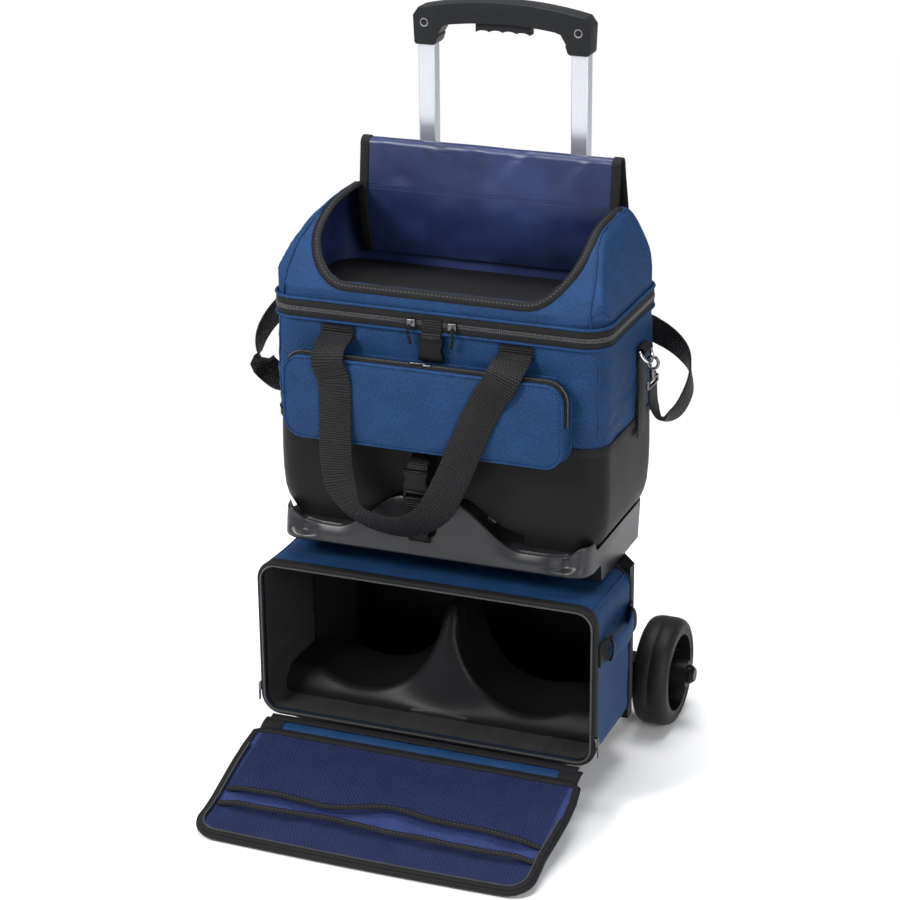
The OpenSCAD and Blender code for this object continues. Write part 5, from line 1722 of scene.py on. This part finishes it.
class BAG_OT_shoe_section(Operator):
    """Builds the domed shoe section with its lining, bound opening and piping"""

    bl_idname = "bag.shoe_section"
    bl_label = "Shoe section"

    def execute(self, context):
        dome = Dome()
        base = cad("upper_zip_tape")[1].z
        amount = bag().wrinkle / MM
        cy = (dome.front + dome.back) / 2
        w, d = 2 * dome.x, dome.back - dome.front

        def layer(drop, shrink, lowest):
            """Rings from the bottom edge up over the top."""
            rows = []
            rings = [0, 0.4, 1.2, 2.5, 4.5] + [7 + 3.4 * k for k in range(31)]
            border = rrect(w - 2 * shrink, d - 2 * shrink, 34, 12, 4.6)
            for z in (lowest, lowest + 4, lowest + 8):
                rows.append([Vector((p.x, cy + p.y, z)) for p, _ in border])
            for inset in rings:
                row = []
                lim_x, lim_y = max(0.0, w / 2 - shrink - inset), max(0.0, d / 2 - shrink - inset)
                for p, q in border:
                    x = max(-lim_x, min(lim_x, p.x - q.x * inset))
                    y = cy + max(-lim_y, min(lim_y, p.y - q.y * inset))
                    f = amount * (wave((x * 1.2, y * 1.8, 0), 40, 12) + 0.4 * wave((x * 3, y * 3, 0), 40, 15))
                    f *= smooth_step(inset, 2, 20)
                    z = dome.height(x, y) - drop + f
                    row.append(Vector((x, y, max(z, lowest + 9))))
                rows.append(row)
            return rows

        def open_up(shape, grow):
            keep, uvs = [], []
            for f, u in zip(shape.faces, shape.uvs):
                c = sum((shape.points[v] for v in f), Vector()) / len(f)
                if not (c.z > base + 10 and dome.inside(c.x, c.y, grow)):
                    keep.append(f)
                    uvs.append(u)
            shape.faces, shape.uvs = keep, uvs

        outer = Shape()
        rows = layer(0, 0, base - 1)
        outer.grid(rows, close=True)
        outer.fan(rows[-1])
        open_up(outer, -1.5)
        for i, f in enumerate(outer.faces):
            if all(outer.points[v].z > base + 14 for v in f):
                corner_points = [outer.points[v] for v in f]
                outer.uvs[i] = [(p.x * MM, (p.y + p.z) * MM) for p in corner_points]
        stand_for(outer.object("shoe_dome_cloth", cloth(), "shoe_lid", angle=80), "blue_fabric",
                  "shoe_section")
        lining = Shape()
        rows = layer(3.2, 3.6, base - 12)
        lining.grid(rows, close=True, flip=True)
        lining.fan(rows[-1], flip=True)
        open_up(lining, -1.5)
        bottom = [Vector((p.x, p.y, base - 11.5)) for p in rows[0]]
        stand_for(lining.object("shoe_dome_lining", coated(), "shoe_lid", weld=False, angle=80),
                  "navy_coated")

        floor_cloth = Shape()
        floor_cloth.fan(bottom)
        stand_for(floor_cloth.object("shoe_floor_lining", tape(), "shoe_lid", weld=False), "black_lining")
        panel, corners, rows_back = Shape(), Shape(), []
        side = curve([(0, 193.4, 757), (0, 192.6, 748), (0, 194.5, 720), (0, 202, 685), (0, 214, 656)], 5)
        for p in side:
            soft = 1.6 * smooth_step(side[0].z - p.z, 6, 30)
            rows_back.append([Vector((-181 + 362 * i / 60, p.y + soft * wave((i * 9, 3, p.z), 44, 31), p.z))
                              for i in range(61)])
        panel.grid(rows_back)
        stand_for(panel.object("shoe_back_lining", coated(), "shoe_lid", weld=False), "navy_coated")
        for s in (-1, 1):
            sweep(corners, [Vector((s * 178, p.y - 2.5, p.z)) for p in side], Vector((1, 0, 0)),
                  flat_profile(14, 4))
        stand_for(corners.object("shoe_corner_tapes", tape(), "shoe_lid"), "black_binding")

        # binding that wraps the opening's edge
        edge = [Vector((x, y, dome.height(x, y) - 1.2)) for x, y in dome.open_edge(1.5)]
        edge = curve(edge[::2] + ([edge[-1]] if len(edge) % 2 == 0 else []), 3)
        n = len(edge)
        sides = []
        for i in range(n):
            t = (edge[min(i + 1, n - 1)] - edge[max(i - 1, 0)]).normalized()
            x, y = edge[i].x, edge[i].y
            e = 1.5
            up = Vector((dome.height(x - e, y) - dome.height(x + e, y),
                         dome.height(x, y - e) - dome.height(x, y + e), 2 * e))
            sides.append(t.cross(up.normalized()))
        bind = Shape()
        sweep(bind, edge, sides, oval_profile(13.5, 7.0, 12))
        stand_for(bind.object("opening_edge", stitched(), "shoe_lid"), "black_binding", "opening_binding")

        # piping between the front panel and the side panels
        pipes = Shape()
        for s in (-1, 1):
            line = []
            for k in range(26):
                t = k / 25
                y = 2 + 196 * t
                x = s * (208 - 17 * smooth_step(t, 0, 0.5))
                line.append(Vector((x, y, dome.height(x, y) + 0.3)))
            line = [Vector((s * 210, -0.2, base + 4)), Vector((s * 209.5, -0.6, base + 10))] + line
            cord(pipes, curve(line, 2), 1.5)
        stand_for(pipes.object("shoe_dome_piping", cloth(), "shoe_lid"), "blue_fabric")
        return {"FINISHED"}


class BAG_OT_flap(Operator):
    """Builds the coated flap that is folded back behind the opening"""

    bl_idname = "bag.flap"
    bl_label = "Flap"

    def execute(self, context):
        swing = [j for j in frame["joints"] if j["name"] == "flap_swing"][0]
        fold = [j for j in frame["joints"] if j["name"] == "flap_fold"][0]
        h = Vector(swing["pos_m"]) / MM
        c = Vector(fold["pos_m"]) / MM
        half = cad("flap_near")[1].x
        fl, fh = cad("flap_far")
        r = 9.4
        side = [(h.y - 0.8, h.z - 5), (h.y + 0.2, h.z + 5), (h.y + 1.9, h.z + 20),
                (c.y - r - 1.2, c.z - 14), (c.y - r, c.z - 3)]
        for k in range(9):
            a = pi - pi * k / 8
            side.append((c.y + r * cos(a), c.z + r * sin(a)))
        depth = c.z - fl.z
        hang = fh.y - c.y - r - 2
        for t in [k / 8 for k in range(1, 9)]:
            out = sin(pi * 0.5 * min(1, t * 1.4)) ** 1.4 * (1 - 0.25 * t)
            side.append((c.y + r + hang * out, c.z - depth * t + 2))
        path = curve([(0, y, z) for y, z in side], 4)

        def crease(x, z):
            """Depth of the creases: two ridges that fan down from the fold."""
            t = (z - h.z) / 60
            out = 0.0
            for x0, spread, amp in ((-78, 30, 3.2), (52, 22, 2.6), (-20, 18, -1.8), (-150, 16, -1.6),
                                    (140, 18, 1.8)):
                lean = x0 + (1 - t) * 30 * (1 if x0 < 0 else -1)
                out += amp * exp(-(((x - lean) / (spread * (0.4 + 0.9 * max(0, 1 - t)))) ** 2))
            return out * smooth_step(t, -0.1, 0.3) * (1 - 0.8 * smooth_step(t, 0.75, 1.1))

        def surface(x, i):
            p = path[i]
            a, b = path[max(i - 1, 0)], path[min(i + 1, len(path) - 1)]
            t = (b - a).normalized()
            n = Vector((0, -t.z, t.y))
            d = crease(x, p.z) if p.y < c.y else 0.8 * wave((x, 0, p.z), 50, 21)
            d += 0.6 * wave((x, p.y, p.z), 60, 2)
            return Vector((x, p.y, p.z)) + n * d

        count = len(path)
        cloth_shape = Shape()
        wide = half - 1
        cloth_shape.grid([[surface(wide * (k / 45 - 1), i) for k in range(91)] for i in range(count)])
        flap = cloth_shape.object("flap_cloth", coated(), None, weld=False, angle=80)
        stand_for(flap, "navy_coated", "flap_near", "flap_far")
        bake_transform(flap)
        edges = Shape()
        for s in (-1, 1):
            line = [surface(s * (half - 5.5), i) for i in range(count)]
            sweep(edges, line, Vector((1, 0, 0)), flat_profile(13, 3.6))
        line = [surface(-half + 2 + (2 * half - 4) * k / 60, count - 1) for k in range(61)]
        sweep(edges, line, Vector((0, 0, 1)), flat_profile(12, 3.6))
        edge_obj = edges.object("flap_edge_tape", tape(), None, angle=60)
        stand_for(edge_obj, "black_binding")
        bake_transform(edge_obj)
        return {"FINISHED"}


# ---- small trim ----


class BAG_OT_trim(Operator):
    """Builds the zip sliders with cord pulls and the buckle at the zip's middle"""

    bl_idname = "bag.trim"
    bl_label = "Sliders and buckle"

    def execute(self, context):
        dark = steel("zip_dark", 0.3, 0.12)
        for word, s in (("left", -1), ("right", 1)):
            low, high = cad(f"zip_slider_{word}")
            x = (low.x + high.x) / 2
            parts = [((x - 6, high.y - 6, high.z - 10), (x + 6, high.y, high.z), 1.6),
                     ((x - 1.6, high.y - 8, high.z - 8), (x + 1.6, high.y - 5, high.z - 2), 0.8)]
            body = boxes(f"zip_slider_body_{word}", parts, dark, f"zip_slider_{word}")
            stand_for(body, "zip_metal", f"zip_slider_{word}")
            pull = Shape()
            line = curve([(x, high.y - 7.4, high.z - 6), (x + s * 1.5, high.y - 8.6, high.z - 14),
                          (x + s * 0.5, high.y - 7.6, high.z - 24),
                          (x - s * 1.5, high.y - 7.0, high.z - 33)], 6)
            cord(pull, line, 1.0)
            line2 = [p + Vector((s * 2.2, -0.3, 0)) for p in line]
            cord(pull, line2, 1.0)
            stand_for(pull.object(f"zip_pull_cord_{word}", webbing(), f"zip_slider_{word}"), "black_webbing")

        low, high = cad("centre_buckle")
        gloss = moulded("buckle_black", 0.3, 0.9)
        x0 = (low.x + high.x) / 2
        body = [(x0 - 17, low.z), (x0 - 17.2, low.z + 8), (x0 - 14.6, low.z + 12), (x0 - 14.6, low.z + 18),
                (x0 - 17, low.z + 22),
                (x0 - 16, low.z + 32), (x0 + 16, low.z + 32), (x0 + 17, low.z + 22), (x0 + 14.6, low.z + 18),
                (x0 + 14.6, low.z + 12), (x0 + 17.2, low.z + 8), (x0 + 17, low.z)]
        y0, y1 = low.y, low.y + 9
        obj = outline_block("centre_buckle_body", body, y0, y1, 2.4, gloss, "centre_buckle", 3)
        cut(obj, prism([(x0 - 13.5, low.z - 4), (x0 + 13.5, low.z - 4), (x0 + 13.5, low.z + 21),
                        (x0 - 13.5, low.z + 21)],
                       y0 + 2.2, y1 - 2.0))
        stand_for(obj, "buckle_black", "centre_buckle")
        tab = Shape()
        line = curve([(x0, y0 + 6, low.z + 28), (x0, y0 + 7, low.z + 36), (x0, y0 + 7.6, low.z + 46),
                      (x0, y0 + 8.2, high.z)], 4)
        sweep(tab, line, Vector((1, 0, 0)), flat_profile(27, 2.4))
        line = curve([(x0, y0 + 3, low.z + 28), (x0, y0 + 2.6, low.z + 33), (x0, y0 + 5, low.z + 38)], 4)
        sweep(tab, line, Vector((1, 0, 0)), flat_profile(27, 2.2))
        stand_for(tab.object("centre_buckle_tab", webbing(), "centre_buckle"), "black_webbing")
        return {"FINISHED"}


# ---- stage ----


class BAG_OT_stage(Operator):
    """Sets up the camera, the pale floor and the soft lights"""

    bl_idname = "bag.stage"
    bl_label = "Stage"

    def execute(self, context):
        s = context.scene.stage_settings
        cam = bpy.data.cameras.new("camera")
        cam.lens = s.lens
        cam.sensor_width = 36
        cam.clip_end = 50
        obj = bpy.data.objects.new("camera", cam)
        bpy.context.scene.collection.objects.link(obj)
        back = Vector((sin(s.azimuth) * cos(s.elevation), -cos(s.azimuth) * cos(s.elevation),
                       sin(s.elevation)))
        turn = back.to_track_quat("Z", "Y").to_matrix().to_4x4() @ Matrix.Rotation(s.roll, 4, "Z")
        obj.matrix_world = Matrix.Translation(Vector(s.place)) @ turn
        bpy.context.scene.camera = obj

        mesh = bpy.data.meshes.new("floor")
        e = 6.0
        mesh.from_pydata([(-e, -e, 0), (e, -e, 0), (e, e, 0), (-e, e, 0)], [], [(0, 1, 2, 3)])
        floor = bpy.data.objects.new("floor", mesh)
        bpy.context.scene.collection.objects.link(floor)
        m = Mat("floor", tuple(s.floor), 0.7, Specular_IOR_Level=0.1)
        px, py, _ = m.place().xyz()
        far = ((px * px + (py - 0.2) * (py - 0.2)) ** 0.5).step(0.55, 1.5)
        glow = m.tree.nodes.new("ShaderNodeEmission")
        glow.inputs["Color"].default_value = (1, 1, 1, 1)
        seen = Sock(m, m.tree.nodes.new("ShaderNodeLightPath").outputs["Is Camera Ray"])
        far = far * seen
        blend = m.tree.nodes.new("ShaderNodeMixShader")
        m.tree.links.new(far.out, blend.inputs[0])
        m.tree.links.new(m.bsdf.outputs[0], blend.inputs[1])
        m.tree.links.new(glow.outputs[0], blend.inputs[2])
        m.tree.links.new(blend.outputs[0], m.tree.nodes["Material Output"].inputs[0])
        mesh.materials.append(m.data)

        for name, place, aim, size, power in (
                ("key", (-1.9, -2.3, 2.9), (0, 0, 0.5), 1.4, 170),
                ("fill", (2.6, -1.8, 1.5), (0, 0, 0.5), 1.5, 56),
                ("top", (0.1, 0.4, 3.2), (0, 0.1, 0.4), 1.6, 95)):
            lamp = bpy.data.lights.new(name, "AREA")
            lamp.size = size
            lamp.energy = power
            lo = bpy.data.objects.new(name, lamp)
            bpy.context.scene.collection.objects.link(lo)
            d = Vector(place) - Vector(aim)
            lo.matrix_world = Matrix.Translation(Vector(place)) @ d.to_track_quat("Z",
                                                                                  "Y").to_matrix().to_4x4()
        world = bpy.data.worlds.new("world")
        world.use_nodes = True
        tree = world.node_tree
        bg = tree.nodes["Background"]
        path = tree.nodes.new("ShaderNodeLightPath")
        mix = tree.nodes.new("ShaderNodeMix")
        mix.data_type = "RGBA"
        mix.inputs[6].default_value = (0.30, 0.31, 0.33, 1)
        mix.inputs[7].default_value = (1, 1, 1, 1)
        tree.links.new(path.outputs["Is Camera Ray"], mix.inputs[0])
        tree.links.new(mix.outputs[2], bg.inputs["Color"])
        bpy.context.scene.world = world
        bpy.context.scene.view_settings.view_transform = "Standard"
        return {"FINISHED"}


STEPS = (
    BAG_OT_stage, BAG_OT_lower_bag, BAG_OT_cradle, BAG_OT_side_grips, BAG_OT_chassis, BAG_OT_wheels,
    BAG_OT_tubes, BAG_OT_grip, BAG_OT_tray, BAG_OT_hold_down, BAG_OT_door, BAG_OT_tote_base,
    BAG_OT_tote_body, BAG_OT_zip_band, BAG_OT_pocket, BAG_OT_handles, BAG_OT_side_fittings,
    BAG_OT_shoe_section, BAG_OT_flap, BAG_OT_trim)


class BAG_PT_panel(Panel):
    """Lists the bag's pieces"""

    bl_label = "Bowling ball bag"
    bl_idname = "BAG_PT_panel"
    bl_space_type = "VIEW_3D"
    bl_region_type = "UI"
    bl_category = "Bag"

    def draw(self, context):
        layout = self.layout
        for group in (context.scene.bag_settings, context.scene.stage_settings):
            for name in group.__annotations__:
                layout.prop(group, name)
        for step in STEPS:
            layout.operator(step.bl_idname)


CLASSES = (BagSettings, StageSettings) + STEPS + (BAG_PT_panel,)


def register():
    for c in CLASSES:
        bpy.utils.register_class(c)
    bpy.types.Scene.bag_settings = PointerProperty(type=BagSettings)
    bpy.types.Scene.stage_settings = PointerProperty(type=StageSettings)


def unregister():
    del bpy.types.Scene.stage_settings
    del bpy.types.Scene.bag_settings
    for c in reversed(CLASSES):
        bpy.utils.unregister_class(c)


def main():
    register()
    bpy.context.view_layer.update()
    for step in STEPS:
        group, name = step.bl_idname.split(".")
        getattr(getattr(bpy.ops, group), name)()
    bpy.context.view_layer.update()


if __name__ == "__main__":
    main()
